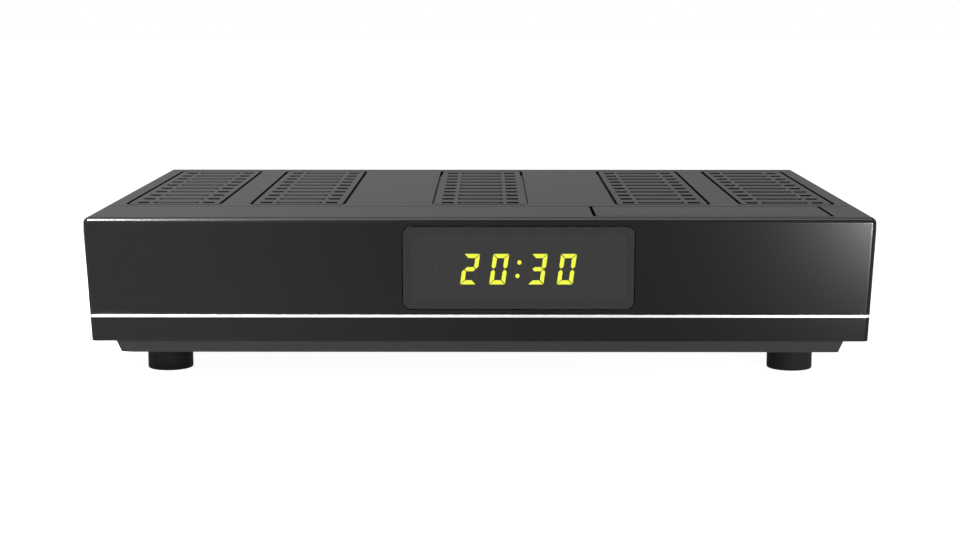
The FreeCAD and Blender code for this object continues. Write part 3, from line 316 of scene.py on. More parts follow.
# %% Metals
finish("trim_silver", (0.86, 0.86, 0.87), 0.25, metallic=0.9, relief=0.004)
finish("tinned_steel", (0.62, 0.62, 0.60), 0.34, metallic=1.0, density=900.0, depth=0.1)
finish("nickel", (0.68, 0.66, 0.62), 0.22, metallic=1.0, depth=0.05)
finish("contact_gold", (0.85, 0.62, 0.25), 0.25, metallic=1.0, depth=0.05)
finish("bare_aluminium", (0.75, 0.75, 0.76), 0.4, metallic=1.0)
finish("screw_black", (0.03, 0.03, 0.03), 0.35, metallic=0.5)
print(len(FINISHES), "finishes")

# %% [markdown]
# The boards take the track pattern as their colour, so their finish is made as the others are and
# its tint is then swapped for the track group.

# %% Lacquered boards
LACQUER = (0.012, 0.10, 0.038)
TRACK_GREEN = (0.03, 0.19, 0.07)
board_tree, board_shader = finish("board_green", LACQUER, 0.3, depth=0.05)
board_colours = [("Lacquer", (*LACQUER, 1.0)), ("Track", (*TRACK_GREEN, 1.0))]
board_tint = add_group(board_tree, TRACKS, board_colours)
board_tree.links.new(board_tint.outputs["Colour"], board_shader.inputs["Base Color"])

# %% [markdown]
# ## Smoked window and lit digits
# The window is a sheet of tinted acrylic. Real tinted sheet takes light away along its thickness;
# a tinted transmission colour does the same for a thin sheet and exports cleanly. The digits
# behind it glow: their plastic is yellowish, and their own light drifts a little in tone.

# %% Window and digits
SMOKE = (0.10, 0.10, 0.103)
SMOKE_TONE = 0.03                 # a sheet is more even than a moulding
WINDOW_ROUGHNESS, WINDOW_SPREAD = 0.03, 0.01
ACRYLIC_INDEX = 1.53
YELLOW_PLASTIC = (0.25, 0.27, 0.02)
YELLOW_LIGHT = (0.95, 1.0, 0.03)
GLOW = 10.0
window_tree, window_shader = new_finish("smoked_window")
window_shader.inputs["Transmission Weight"].default_value = 1.0
window_shader.inputs["IOR"].default_value = ACRYLIC_INDEX
window_tint = add_group(window_tree, TONE_DRIFT,
                        [("Colour", (*SMOKE, 1.0)), ("Amount", SMOKE_TONE)])
window_tree.links.new(window_tint.outputs["Colour"], window_shader.inputs["Base Color"])
window_gloss = add_group(window_tree, GLOSS_DRIFT,
                         [("Middle", WINDOW_ROUGHNESS), ("Spread", WINDOW_SPREAD)])
window_tree.links.new(window_gloss.outputs["Roughness"], window_shader.inputs["Roughness"])

digit_tree, digit_shader = finish("lit_yellow", YELLOW_PLASTIC, 0.4, depth=0.05)
digit_light = add_group(digit_tree, TONE_DRIFT, [("Colour", (*YELLOW_LIGHT, 1.0))])
digit_tree.links.new(digit_light.outputs["Colour"], digit_shader.inputs["Emission Color"])
digit_shader.inputs["Emission Strength"].default_value = GLOW
print("window and digits ready")

# %% [markdown]
# ## Dress the frame's own pieces
# The record says which finish each node has, so one loop gives them all their material. Nodes
# that get a finer piece later keep this one underneath.

# %% Materials on the frame's nodes
slot_of = {row["node"]: row["material_slot"] for row in frame["record"]["subparts"]}
for name, node in nodes.items():
    node.data.materials.clear()
    node.data.materials.append(FINISHES[slot_of[name]])
print(len(nodes), "nodes dressed")

# %% [markdown]
# ## Mouldings with rounded edges
# No moulded edge is truly sharp: the tool leaves a round of a few tenths of a millimetre, and
# that is what catches the light. The construction's mesh has sharp edges, so a merged copy of it
# gets a Bevel modifier. A copy keeps the piece exactly where it is.

# %% Softened copies
MERGE = 0.002 * MM                # points nearer to each other than this are one
NEARLY_FLAT = math.radians(0.5)   # faces that meet at a smaller angle become one
UPRIGHT = 0.99                    # how much of an upright edge's direction points up or down
CORNER_TURN = math.radians(30)    # faces that meet at a larger angle make a corner
CORNER_HEIGHT = 3 * MM            # the corners of slots are lower than this
ROUND_STEPS = 3                   # faces across a round
LARGE_FACES = 100                 # the larger face sets the normal wholly, so it looks flat


def merged(mesh):
    """Copy of a mesh for editing, in which points that lie on each other are one."""
    work = bmesh.new()
    work.from_mesh(mesh)
    bmesh.ops.remove_doubles(work, verts=work.verts, dist=MERGE)
    return work


def finished_mesh(name, work, material_name):
    """Smooth mesh from an edited copy, with its material."""
    for face in work.faces:
        face.smooth = True
    mesh = bpy.data.meshes.new(name)
    work.to_mesh(mesh)
    work.free()
    mesh.materials.append(FINISHES[material_name])
    return mesh


def is_slot_corner(edge):
    """Whether an edge is short and upright and stands at a corner."""
    direction = (edge.verts[0].co - edge.verts[1].co).normalized()
    return (abs(direction.z) > UPRIGHT and edge.calc_face_angle(0.0) > CORNER_TURN
            and edge.calc_length() < CORNER_HEIGHT)


def add_bevel(piece, name, width, segments, method):
    """Bevel modifier whose width is in mm."""
    bevel = piece.modifiers.new(name, "BEVEL")
    bevel.width = width * MM
    bevel.segments = segments
    bevel.limit_method = method
    return bevel


def softened(node, width, body="chassis", segments=ROUND_STEPS, plan_round=0.0, angle=30.0):
    """Merged copy of a node whose edges sharper than an angle are rounded by a width in mm.

    Short upright edges, such as the corners of slots, first get a larger round in plan.
    """
    work = merged(nodes[node].data)
    bmesh.ops.dissolve_limit(work, angle_limit=NEARLY_FLAT, verts=work.verts, edges=work.edges)
    if plan_round:
        weight = work.edges.layers.float.new("bevel_weight_edge")
        for edge in filter(is_slot_corner, work.edges):
            edge[weight] = 1.0
    name = node + "_moulded"
    piece = place_object(name, finished_mesh(name, work, slot_of[node]))
    if plan_round:
        add_bevel(piece, "rounded corners in plan", plan_round, ROUND_STEPS, "WEIGHT")
    bevel = add_bevel(piece, "rounded edges", width, segments, "ANGLE")
    bevel.angle_limit = math.radians(angle)
    normals = piece.modifiers.new("flat faces stay flat", "WEIGHTED_NORMAL")
    normals.weight = LARGE_FACES
    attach(piece, body)
    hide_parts(node)


# %% Case, panel and key
softened("top_cover", 0.3, plan_round=0.6)
for node, width in (("front_bezel", 0.2), ("bottom_tray", 0.3), ("rear_panel", 0.1),
                    ("trim_strip", 0.1), ("display_window", 0.12)):
    softened(node, width)
softened("key_plate", 0.2, body="key_plate")
print("case softened")

# %% [markdown]
# The sockets at the back are sheet metal and small mouldings. Their rounds are finer: a folded
# steel shell is broken by about a tenth of a millimetre, a moulded mouth by twice that.

# %% Sockets, rocker and what stands inside
SOFT_EDGES = {                    # width of each node's rounds in mm
    "scart_socket": 0.25, "scart_contact_block": 0.12, "network_socket": 0.2, "hdmi_socket": 0.1,
    "usb_socket": 0.1, "hdmi_tongue": 0.1, "usb_tongue": 0.15, "dc_inlet": 0.25,
    "coax_block": 0.3, "power_switch_body": 0.3, "tuner_can": 0.25, "display_holder": 0.15,
    "infrared_receiver": 0.2, "switch_bodies": 0.15, "heat_sink": 0.15, "board_connectors": 0.2,
    "inductors": 0.5,
}
for node, width in SOFT_EDGES.items():
    softened(node, width, segments=2)
softened("power_rocker", 0.25, body="power_rocker", angle=20.0)
print(len(SOFT_EDGES) + 1, "smaller pieces softened")

# %% [markdown]
# ## Pieces from surfaces
# Everything round, threaded or bent is made from scratch. A surface is a grid of points: rows one
# way, columns the other. The formula is worked out for the whole grid at once, and the faces are
# the same for every grid, so one helper counts them. All surfaces here close round their columns,
# as a tube does. Some close by their rows too, as a ring does.

# %% From a grid of points to an object
DEGENERATE = 0.001 * MM           # edges shorter than this are taken out


def grid_faces(rows, columns, ring):
    """Four corners of each cell; the first column comes again, and in a ring the first row."""
    row, column = np.meshgrid(np.arange(rows - (not ring)), np.arange(columns), indexing="ij")
    below, beside = (row + 1) % rows, (column + 1) % columns
    cells = [row * columns + column, row * columns + beside,
             below * columns + beside, below * columns + column]
    return np.stack(cells, axis=-1).reshape(-1, 4)


def make_piece(name, surfaces, finish_slot, body="chassis", stands_for=(), sharp=35.0):
    """Object from (points in mm, whether a ring) surfaces, doubles merged, normals outward."""
    points, faces, start = [], [], 0
    for grid, ring in surfaces:
        rows, columns = grid.shape[:2]
        points.append(grid.reshape(-1, 3))
        faces.append(start + grid_faces(rows, columns, ring))
        start += rows * columns
    raw = bpy.data.meshes.new(name + "_raw")
    raw.from_pydata((np.concatenate(points) * MM).tolist(), [], np.concatenate(faces).tolist())
    work = merged(raw)
    bpy.data.meshes.remove(raw)
    bmesh.ops.dissolve_degenerate(work, edges=work.edges, dist=DEGENERATE)
    bmesh.ops.recalc_face_normals(work, faces=work.faces)
    mesh = finished_mesh(name, work, finish_slot)
    mesh.set_sharp_from_angle(angle=math.radians(sharp))
    piece = place_object(name, mesh)
    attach(piece, body)
    if stands_for:
        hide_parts(*stands_for)
    print(name, len(mesh.vertices), "points")


# %% [markdown]
# Three ways of making a grid cover all the small parts: turning a profile round an axis as on a
# lathe, carrying an outline along a path as a press or a tube bender does, and shaping a radius
# that depends on the turn, as threads and hexagons need. Corners of a lathe profile are rounded
# by a short curve first.


# %% Lathe and sweep
CURVE_STEPS = 4                   # parts of each rounded corner
TINY = 1e-9                       # keeps a step without length from being divided by zero


def bent(t, first, corner, last):
    """Curve (1-t)(1-t) first + 2t(1-t) corner + tt last, from one point to another."""
    return (1 - t) ** 2 * first + 2 * t * (1 - t) * corner + t ** 2 * last


def rounded_profile(corners, radius):
    """Profile whose corners are each a bent curve between two points one radius away from it."""
    corners = np.array(corners, float)
    radius = np.broadcast_to(np.array(radius, float), len(corners)).copy()
    radius[[0, -1]] = 0.0

    def towards(other):
        step = other - corners
        length = np.linalg.norm(step, axis=1, keepdims=True)
        return corners + step / np.maximum(length, TINY) * np.minimum(radius[:, None], length / 2)
    before = towards(np.concatenate([corners[:1], corners[:-1]]))
    after = towards(np.concatenate([corners[1:], corners[-1:]]))
    t = np.linspace(0, 1, CURVE_STEPS + 1)[None, :, None]
    return bent(t, before[:, None], corners[:, None], after[:, None]).reshape(-1, 2)


def around(along, radius, centre, axis):
    """Points centre + along * axis + radius * (cos turn, sin turn), for rows by turns."""
    turn = np.linspace(0, 2 * np.pi, radius.shape[1], endpoint=False)
    u, v = radius * np.cos(turn), radius * np.sin(turn)
    along = np.broadcast_to(along, radius.shape)
    order = {"y": (u, along, v), "z": (u, v, along)}[axis]
    return np.array(centre, float) + np.stack(order, axis=-1)


def turned(profile, centre, axis, sides=48):
    """Surface of revolution of an (along, radius) profile: each point goes round the axis."""
    along, radius = np.array(profile, float).T
    return around(along[:, None], np.repeat(radius[:, None], sides, axis=1), centre, axis), False


def carried(path, outline, across):
    """Outline carried along a path, its ends drawn shut.

    An outline point (u, v) lies at the path's point + u * across + v * (direction x across).
    """
    path = np.array(path, float)
    direction = np.gradient(path, axis=0)
    direction /= np.linalg.norm(direction, axis=1, keepdims=True)
    across = np.array(across, float)
    u, v = np.array(outline, float).T
    upward = np.cross(direction, across)
    rings = path[:, None] + u[:, None] * across + v[:, None] * upward[:, None]
    ends = np.repeat(path[[0, -1], None], len(u), axis=1)
    return np.concatenate([ends[:1], rings, ends[1:]]), False


def flat_bar(width, thick):
    """Outline of a flat strip."""
    u, v = width / 2, thick / 2
    return [(-u, -v), (u, -v), (u, v), (-u, v)]


# %% [markdown]
# New pieces have to sit where the construction's own solids are. A node's box gives that for a
# single solid. Where one node holds several, such as four feet, a walk along the edges from any
# point finds all points of one solid, and its lowest and highest values are that solid's box.


# %% Where things are
def in_mm(box):
    """Lowest and highest corner of a box, from metres to mm."""
    return [np.array(corner) / MM for corner in box]


def middle(low, high):
    """Point halfway between two corners."""
    return (low + high) / 2


def spaced(centre, count, pitch):
    """Places one pitch apart: centre + (number - (count - 1) / 2) * pitch."""
    return centre + (np.arange(count) - (count - 1) / 2) * pitch


def solid_boxes(node):
    """Lowest and highest corner in mm of each separate solid of a node, from left to right."""
    work = merged(nodes[node].data)
    left, boxes = set(work.verts), []
    while left:
        front = [left.pop()]
        found = set(front)
        while front:
            corner = front.pop()
            linked = {edge.other_vert(corner) for edge in corner.link_edges} - found
            found |= linked
            front.extend(linked)
        left -= found
        spots = np.array([vertex.co for vertex in found]) / MM
        boxes.append((spots.min(axis=0), spots.max(axis=0)))
    work.free()
    return sorted(boxes, key=lambda pair: (round(pair[0][0], 1), round(pair[0][1], 1)))


# %% [markdown]
# ## Rubber feet
# Each foot is a moulded puck that stands a little wider where it meets the tray, with a soft
# round at the floor and a shallow hollow underneath that holds it like a suction cup.

# %% Feet
FOOT_TOP = 6.2                    # height of the foot in mm
FOOT_NECK = 5.4                   # height at which it starts to widen
FOOT_FLARE = 0.85                 # by how much it widens
FOOT_RIM = 1.5                    # width of the ring that stands on the floor
HOLLOW = 0.5                      # depth of the hollow, and width of its slope
FOOT_ROUNDS = [0, 0.3, 0.3, 0.45, 0.3, 0.05, 0]

feet = []
for low, high in solid_boxes("rubber_feet"):
    x, y, _ = middle(low, high)
    wide = (high[0] - low[0]) / 2
    narrow = wide - FOOT_FLARE
    corners = [(HOLLOW, 0), (HOLLOW, narrow - FOOT_RIM - HOLLOW), (0, narrow - FOOT_RIM),
               (0, narrow), (FOOT_NECK, narrow), (FOOT_TOP, wide), (FOOT_TOP, 0)]
    feet.append(turned(rounded_profile(corners, FOOT_ROUNDS), (x, y, 0), "z"))
make_piece("foot_pucks", feet, "foot_rubber", stands_for=("rubber_feet",))

# %% [markdown]
# ## Screws
# The case is held from below by four pan-head screws with a cross recess. The head is a shallow
# dome over a disc, and the recess is taken out of its height: deep where a point lies near one of
# two crossing lines and within their length, with sloping walls as the driver's tip has.

# %% Screw heads
HEAD_HEIGHT = 1.5                 # mm
HEAD_SIDES = 64
DOME_FALL = 0.35                  # share of its height that the dome loses towards the rim
RECESS_DEPTH = 0.5                # share of the height
ARM_WIDTH, ARM_WALL = 0.22, 0.06  # half width of an arm and width of its wall, to the radius
ARM_LENGTH, END_WALL = 0.58, 0.12
HEAD_RINGS = np.concatenate([np.linspace(0, 0.62, 13), np.linspace(0.68, 1.0, 6)])
SHANK = [(0, 0), (0, 1.2), (6.0, 1.2), (6.5, 0)]    # (height above the tray's face, radius)


def screw_head(centre, radius):
    """Height h(1 - 0.35 rr/RR) below the tray, less depth * side * end of a cross recess.

    Side goes from one to zero across the wall of the nearer arm, end at the arms' ends. The rings
    lie closer where the cross is, and the last two are a straight rim and a flat back.
    """
    ring = HEAD_RINGS[:, None] * radius
    turn = np.linspace(0, 2 * np.pi, HEAD_SIDES, endpoint=False)[None, :]
    u, v = np.abs(ring * np.cos(turn)), np.abs(ring * np.sin(turn))
    side = np.clip((ARM_WIDTH * radius - np.minimum(u, v)) / (ARM_WALL * radius), 0, 1)
    end = np.clip((ARM_LENGTH * radius - np.maximum(u, v)) / (END_WALL * radius), 0, 1)
    recess = RECESS_DEPTH * HEAD_HEIGHT * side * end
    dome = HEAD_HEIGHT * (1 - DOME_FALL * (ring / radius) ** 2) - recess
    top = around(-dome, np.broadcast_to(ring, dome.shape), centre, "z")
    back_rings = np.array([[radius], [0.0]]) * np.ones((1, HEAD_SIDES))
    back = around(np.zeros((2, HEAD_SIDES)), back_rings, centre, "z")
    return np.concatenate([top, back]), False


heads = []
for low, high in solid_boxes("case_screws"):
    x, y, _ = middle(low, high)
    tray_face = low[2] + HEAD_HEIGHT
    heads.append(screw_head((x, y, tray_face), (high[0] - low[0]) / 2))
    heads.append(turned(SHANK, (x, y, tray_face), "z", sides=16))
make_piece("case_screw_heads", heads, "screw_black", stands_for=("case_screws",))

# %% [markdown]
# ## Aerial jacks
# The aerial plugs screw on to a 3/8 inch thread with 32 turns to the inch. A thread is a radius
# that depends on both parameters of the grid: go round once and the crest has moved one pitch
# along.

# %% Threaded jacks
REAR_Y = 70.15                    # back of the shells in mm
PANEL_Y = 69.65                   # back face of the rear panel
NECK_END, THREAD_START = 2.8, 2.9    # behind the panel, so that the nut has its place
THREAD_PITCH, ROWS_TO_PITCH = 0.794, 8
THREAD_ROOT, THREAD_DEPTH = 4.36, 0.4
THREAD_FADE = 0.5                 # over this length the thread runs out at the mouth
THREAD_GAP = 0.01                 # the last row stays this much short of the face
TOOTH_SLOPE, TOOTH_FLAT = 3.2, 0.3
MOUTH, MOUTH_ROUND = 4.2, 0.15    # outer radius of the face, and round of its bore
BORE, BORE_FLOOR = 2.62, 2.0      # radius, and distance of its floor from the jack's inner end
JACK_SIDES = 48
JACKS = ("aerial_loop_jack", "aerial_input_jack")


def threaded_jack(x, z, low_y, high_y):
    """Plain neck, then root + depth * (1 - tooth) * fade, then the mouth and the bore.

    The tooth is a wave of flats and slopes over along / pitch - turn, so it winds like a thread.
    """
    along = np.arange(PANEL_Y + THREAD_START, high_y - THREAD_GAP, THREAD_PITCH / ROWS_TO_PITCH)
    along = along[:, None]
    turn = np.linspace(0, 1, JACK_SIDES, endpoint=False)[None, :]
    phase = (along / THREAD_PITCH - turn) % 1.0
    tooth = np.clip(TOOTH_SLOPE * np.abs(phase - 0.5) - TOOTH_FLAT, 0, 1)
    fade = np.clip((high_y - along) / THREAD_FADE, 0, 1)
    axis = (x, 0, z)
    thread = around(along, THREAD_ROOT + THREAD_DEPTH * (1 - tooth) * fade, axis, "y")
    neck = [(low_y, 0), (low_y, THREAD_ROOT), (PANEL_Y + NECK_END, THREAD_ROOT)]
    rim = rounded_profile([(high_y, MOUTH), (high_y, BORE), (low_y + BORE_FLOOR, BORE),
                           (low_y + BORE_FLOOR, 0)], MOUTH_ROUND)
    return np.concatenate([turned(neck, axis, "y", JACK_SIDES)[0], thread,
                           turned(rim, axis, "y", JACK_SIDES)[0]]), False


jack_low, jack_high = in_mm(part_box("aerial_input_jack"))
aerial_z = middle(jack_low, jack_high)[2]
jack_xs = [middle(*in_mm(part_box(node)))[0] for node in JACKS]
for node, x in zip(JACKS, jack_xs):
    make_piece(node + "_thread", [threaded_jack(x, aerial_z, jack_low[1], jack_high[1])],
               "nickel", stands_for=(node,), sharp=50.0)

# %% [markdown]
# A white insulator fills each bore and carries a sprung contact behind a small hole. Both are
# turned from profiles of (place along the jack, radius) pairs.

# %% Insulators and contacts
CORE = [(70.3, 0), (70.3, 2.6), (79.45, 2.6), (79.2, 1.6), (79.35, 0.75), (77.0, 0.65), (77.0, 0)]
CORE_ROUNDS = [0, 0.1, 0.25, 0.3, 0.15, 0.1, 0]
SPRING = [(77.02, 0.0), (77.02, 0.6), (78.6, 0.55), (78.7, 0.4), (78.6, 0.3), (77.2, 0.3),
          (77.2, 0.0)]
core = rounded_profile(CORE, CORE_ROUNDS)
cores = [turned(core, (x, 0, aerial_z), "y", sides=32) for x in jack_xs]
make_piece("aerial_insulator_cores", cores, "insulator_white", stands_for=("aerial_insulators",))
springs = [turned(SPRING, (x, 0, aerial_z), "y", sides=16) for x in jack_xs]
make_piece("aerial_contacts", springs, "contact_gold")

# %% [markdown]
# The hexagon nut outside is one grid as well: its radius is half the width across flats over the
# cosine of the angle to the nearest flat, and the chamfer is a cone that caps that radius near
# the face.

# %% Nuts
NUT_FLATS, NUT_THICK = 11.0, 2.2  # mm
NUT_SIDES = 72
NUT_FACE_INSET = 0.1              # the face is this much narrower than the flats
NUT_CHAMFER, CHAMFER_ROWS = 0.7, 8    # length over which the cone can cut
CONE_STEEPNESS = math.tan(math.radians(60))
NUT_HOLE, NUT_MOUTH = 4.4, 4.75   # radius of the hole, and of its countersunk mouth
NUT_SINK = 0.35                   # depth of the countersink


def hexagon_nut(x, z):
    """Radius flats/2 / cos(angle to the nearest flat), capped by a cone of 30 degrees."""
    low_y, high_y = PANEL_Y, PANEL_Y + NUT_THICK
    turn = np.degrees(np.linspace(0, 2 * np.pi, NUT_SIDES, endpoint=False))[None, :]
    hexagon = NUT_FLATS / 2 / np.cos(np.radians((turn + 30) % 60 - 30))
    chamfer = np.linspace(high_y - NUT_CHAMFER, high_y, CHAMFER_ROWS)
    along = np.concatenate([[low_y], chamfer])[:, None]
    cone = NUT_FLATS / 2 - NUT_FACE_INSET + (high_y - along) * CONE_STEEPNESS
    walls = around(along, np.minimum(hexagon, cone), (x, 0, z), "y")
    hole = turned([(high_y, NUT_MOUTH), (high_y - NUT_SINK, NUT_HOLE), (low_y, NUT_HOLE)],
                  (x, 0, z), "y", NUT_SIDES)[0]
    return np.concatenate([walls, hole]), True


make_piece("aerial_hex_nuts", [hexagon_nut(x, aerial_z) for x in jack_xs], "nickel",
           stands_for=("aerial_nuts",))

# %% [markdown]
# ## Digital sound jack
# The plug's skirt grips a plated barrel with a rolled lip; an orange insulator inside marks the
# socket's kind and holds the centre contact in a round well.

# %% Sound jack
BARREL = [(68.2, 0), (68.2, 3.2), (REAR_Y, 3.2), (REAR_Y, 4.15), (78.15, 4.15), (78.15, 3.65),
          (70.65, 3.65), (70.65, 0)]
BARREL_ROUNDS = [0, 0.1, 0.1, 0.2, 0.25, 0.25, 0.1, 0]
WELL = [(70.66, 0), (70.66, 2.68), (77.05, 2.68), (77.05, 1.75), (73.0, 1.65), (73.0, 0)]
WELL_ROUNDS = [0, 0.1, 0.3, 0.25, 0.1, 0]
CUP = [(73.02, 0), (73.02, 1.6), (76.6, 1.6), (76.6, 1.35), (73.2, 1.3), (73.2, 0)]
CUP_ROUND = 0.08
coax_x, _, coax_z = middle(*in_mm(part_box("coax_jack")))
coax_axis = (coax_x, 0, coax_z)
barrel = turned(rounded_profile(BARREL, BARREL_ROUNDS), coax_axis, "y", sides=64)
make_piece("coax_barrel", [barrel], "nickel", stands_for=("coax_jack",))
well = turned(rounded_profile(WELL, WELL_ROUNDS), coax_axis, "y", sides=48)
make_piece("coax_insulator", [well], "insulator_orange", stands_for=("coax_core",))
cup = turned(rounded_profile(CUP, CUP_ROUND), coax_axis, "y", sides=32)
make_piece("coax_centre_contact", [cup], "nickel")

# %% [markdown]
# ## Supply inlet
# The pin of the low-voltage inlet is turned with a rounded nose so that the plug finds its way.

# %% Supply pin
PIN_RADIUS = 1.0
PIN_ROUNDS = [0, 0.1, 0.8, 0]     # the last but one is the nose
pin_low, pin_high = in_mm(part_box("dc_pin"))
pin_x, _, pin_z = middle(pin_low, pin_high)
pin = rounded_profile([(pin_low[1], 0), (pin_low[1], PIN_RADIUS), (pin_high[1], PIN_RADIUS),
                       (pin_high[1], 0)], PIN_ROUNDS)
make_piece("dc_round_pin", [turned(pin, (pin_x, 0, pin_z), "y", sides=24)], "nickel",
           stands_for=("dc_pin",))

# %% [markdown]
# ## Contacts in the sockets
# The long socket takes 20 folded strips in two rows, the picture socket has 19 fine tracks on
# both faces of its tongue, the USB socket four broad ones under its tongue, and the network
# socket eight sprung wires that slant back from its roof.

# %% Folded strips of the long socket
STRIP_COLUMNS, STRIP_PITCH = 10, 3.8
STRIP_ROW = 2.7                   # distance of each row from the middle
STRIP_SHIFT = 0.45                # each row is shifted this much, one left and one right
STRIP_START, STRIP_LENGTH = 66.5, 2.6
STRIP_BOW, BOW_STEPS = 0.22, 9    # how far a strip bends out to meet the plug
STRIP_OUTLINE = flat_bar(2.0, 0.18)
ALONG_X, ALONG_Z = (1, 0, 0), (0, 0, 1)

scart_x, _, scart_z = middle(*in_mm(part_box("scart_socket")))
bow = np.linspace(0, 1, BOW_STEPS)
strips = []
for row in (-1, 1):
    for x in spaced(scart_x, STRIP_COLUMNS, STRIP_PITCH) + row * STRIP_SHIFT:
        path = np.stack([x + STRIP_BOW * np.sin(np.pi * bow), STRIP_START + STRIP_LENGTH * bow,
                         np.full(BOW_STEPS, scart_z + row * STRIP_ROW)], axis=1)
        strips.append(carried(path, STRIP_OUTLINE, ALONG_Z))
make_piece("scart_contacts", strips, "contact_gold")

# %% Tracks of the picture and USB sockets
HDMI_PITCH, HDMI_START, HDMI_END = 1.0, 59.0, 68.0
HDMI_ABOVE, HDMI_BELOW = 10, 9    # tracks on the two faces of the tongue
HDMI_OUTLINE = flat_bar(0.45, 0.12)
USB_PLACES = (-3.5, -1.0, 1.0, 3.5)
USB_START, USB_KNEE, USB_END = 57.0, 64.0, 67.6
USB_DIP = 0.25                    # how far a blade bends down at its knee
USB_OUTLINE = flat_bar(1.1, 0.2)

hdmi_low, hdmi_high = in_mm(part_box("hdmi_tongue"))
hdmi_x = middle(hdmi_low, hdmi_high)[0]
tracks = []
for face_z, count in ((hdmi_high[2], HDMI_ABOVE), (hdmi_low[2], HDMI_BELOW)):
    for x in spaced(hdmi_x, count, HDMI_PITCH):
        path = [(x, HDMI_START, face_z), (x, HDMI_END, face_z)]
        tracks.append(carried(path, HDMI_OUTLINE, ALONG_X))
make_piece("hdmi_contacts", tracks, "contact_gold")

usb_low, usb_high = in_mm(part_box("usb_tongue"))
usb_x, under = middle(usb_low, usb_high)[0], usb_low[2]
blades = []
for place in USB_PLACES:
    x = usb_x + place
    path = [(x, USB_START, under), (x, USB_KNEE, under - USB_DIP), (x, USB_END, under)]
    blades.append(carried(path, USB_OUTLINE, ALONG_X))
make_piece("usb_contacts", blades, "contact_gold")

# %% Sprung wires of the network socket
WIRE_COUNT, WIRE_PITCH = 8, 1.02
WIRE_RADIUS, WIRE_SIDES, WIRE_STEPS = 0.2, 8, 13
ROOF_GAP = 0.25                   # from the roof to the wire's middle at its upper end
KNEE_BACK = 1.0                   # the knee lies this far behind the upper end

lan_low, lan_high = in_mm(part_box("network_contacts"))
circle = np.linspace(0, 2 * np.pi, WIRE_SIDES, endpoint=False)
wire = WIRE_RADIUS * np.stack([np.cos(circle), np.sin(circle)], axis=1)
upper_end = np.array([lan_high[1], lan_high[2] - ROOF_GAP])
knee = np.array([lan_high[1] - KNEE_BACK, lan_high[2] - WIRE_RADIUS])
lower_end = np.array([lan_low[1], lan_low[2] + WIRE_RADIUS])
slant = bent(np.linspace(0, 1, WIRE_STEPS)[:, None], upper_end, knee, lower_end)
wires = [carried(np.column_stack([np.full(WIRE_STEPS, x), slant]), wire, ALONG_X)
         for x in spaced(middle(lan_low, lan_high)[0], WIRE_COUNT, WIRE_PITCH)]
make_piece("network_spring_wires", wires, "contact_gold", stands_for=("network_contacts",))

# %% [markdown]
# ## Marks on the power rocker
# A bar for on and a ring for off are moulded into the two halves of the rocker's face and filled
# with white. They stand a few hundredths of a millimetre proud and ride with the rocker. Each
# half is a flat that leans in by 7 degrees, and the whole face is tipped by 12.

# %% Bar and ring
DISH, TILT = math.radians(7.0), math.radians(12.0)
PIVOT_Y, PIVOT_Z = PANEL_Y - 1.0, 25.8
FACE_OUT = 3.4                    # mean distance of the face from the pivot
HALF_FACE = 5.9                   # height of each half
BAR_FROM, BAR_TO = 1.9, 4.3       # up the face from its valley
BAR_LIFT, BAR_OUTLINE = 0.02, flat_bar(0.55, 0.08)
RING_MIDDLE, RING_IN, RING_OUT = 3.1, 0.85, 1.25
RING_BASE, RING_TOP, RING_SIDES = -0.02, 0.04, 40
rocker_x = middle(*in_mm(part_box("power_rocker")))[0]


def on_rocker(side, across, up, lift):
    """Point of a half of the face: across and up along it, lifted off it, then tipped.

    In the rocker's own plane it lies up * (cos, sin) of the dish angle + lift * (-sin, cos) from
    the valley. The tilt then turns that round the pivot. Side is 1 above the valley, -1 below.
    """
    valley = FACE_OUT - HALF_FACE * math.tan(DISH) / 2
    height = side * (up * math.cos(DISH)) - side * lift * math.sin(DISH)
    out = valley + up * math.sin(DISH) + lift * math.cos(DISH)
    return np.stack([rocker_x + across,
                     PIVOT_Y + out * math.cos(TILT) - height * math.sin(TILT),
                     PIVOT_Z + out * math.sin(TILT) + height * math.cos(TILT)], axis=-1)


bar_path = on_rocker(1, np.zeros(2), np.array([BAR_FROM, BAR_TO]), BAR_LIFT)
bar = carried(bar_path, BAR_OUTLINE, ALONG_X)
spin = np.linspace(0, 2 * np.pi, RING_SIDES, endpoint=False)[:, None]
ring_radius = np.array([[RING_IN, RING_OUT, RING_OUT, RING_IN]])
ring_lift = np.array([[RING_BASE, RING_BASE, RING_TOP, RING_TOP]])
ring_points = on_rocker(-1, ring_radius * np.sin(spin), RING_MIDDLE + ring_radius * np.cos(spin),
                        ring_lift)
make_piece("rocker_marks", [bar, (ring_points, True)], "stem_white", body="power_rocker")

# %% [markdown]
# ## Inside the case
# Capacitors and key stems are hardly seen through the vents, yet they are made as their real
# shapes: a sleeve rolled in near its foot, and a stem with a rounded head.

# %% Capacitors and stems
FOLD = 0.3                        # edge of the sleeve at the foot
GROOVE_FROM, GROOVE_AT, GROOVE_TO, GROOVE_DEPTH = 1.2, 1.6, 2.0, 0.35
LIP, LIP_SLOPE, LID_DEPTH = 0.8, 0.9, 0.25     # the sleeve's lip round the sunk lid
SLEEVE_ROUND, STEM_ROUND = 0.25, 0.3

cans = []
for low, high in solid_boxes("capacitors"):
    x, y, _ = middle(low, high)
    radius, height = (high[0] - low[0]) / 2, high[2] - low[2]
    sleeve = [(0, 0), (0, radius - FOLD), (FOLD, radius), (GROOVE_FROM, radius),
              (GROOVE_AT, radius - GROOVE_DEPTH), (GROOVE_TO, radius), (height, radius),
              (height, radius - LIP), (height - LID_DEPTH, radius - LIP_SLOPE),
              (height - LID_DEPTH, 0)]
    cans.append(turned(rounded_profile(sleeve, SLEEVE_ROUND), (x, y, low[2]), "z", sides=40))
make_piece("capacitor_cans", cans, "capacitor_sleeve", stands_for=("capacitors",))

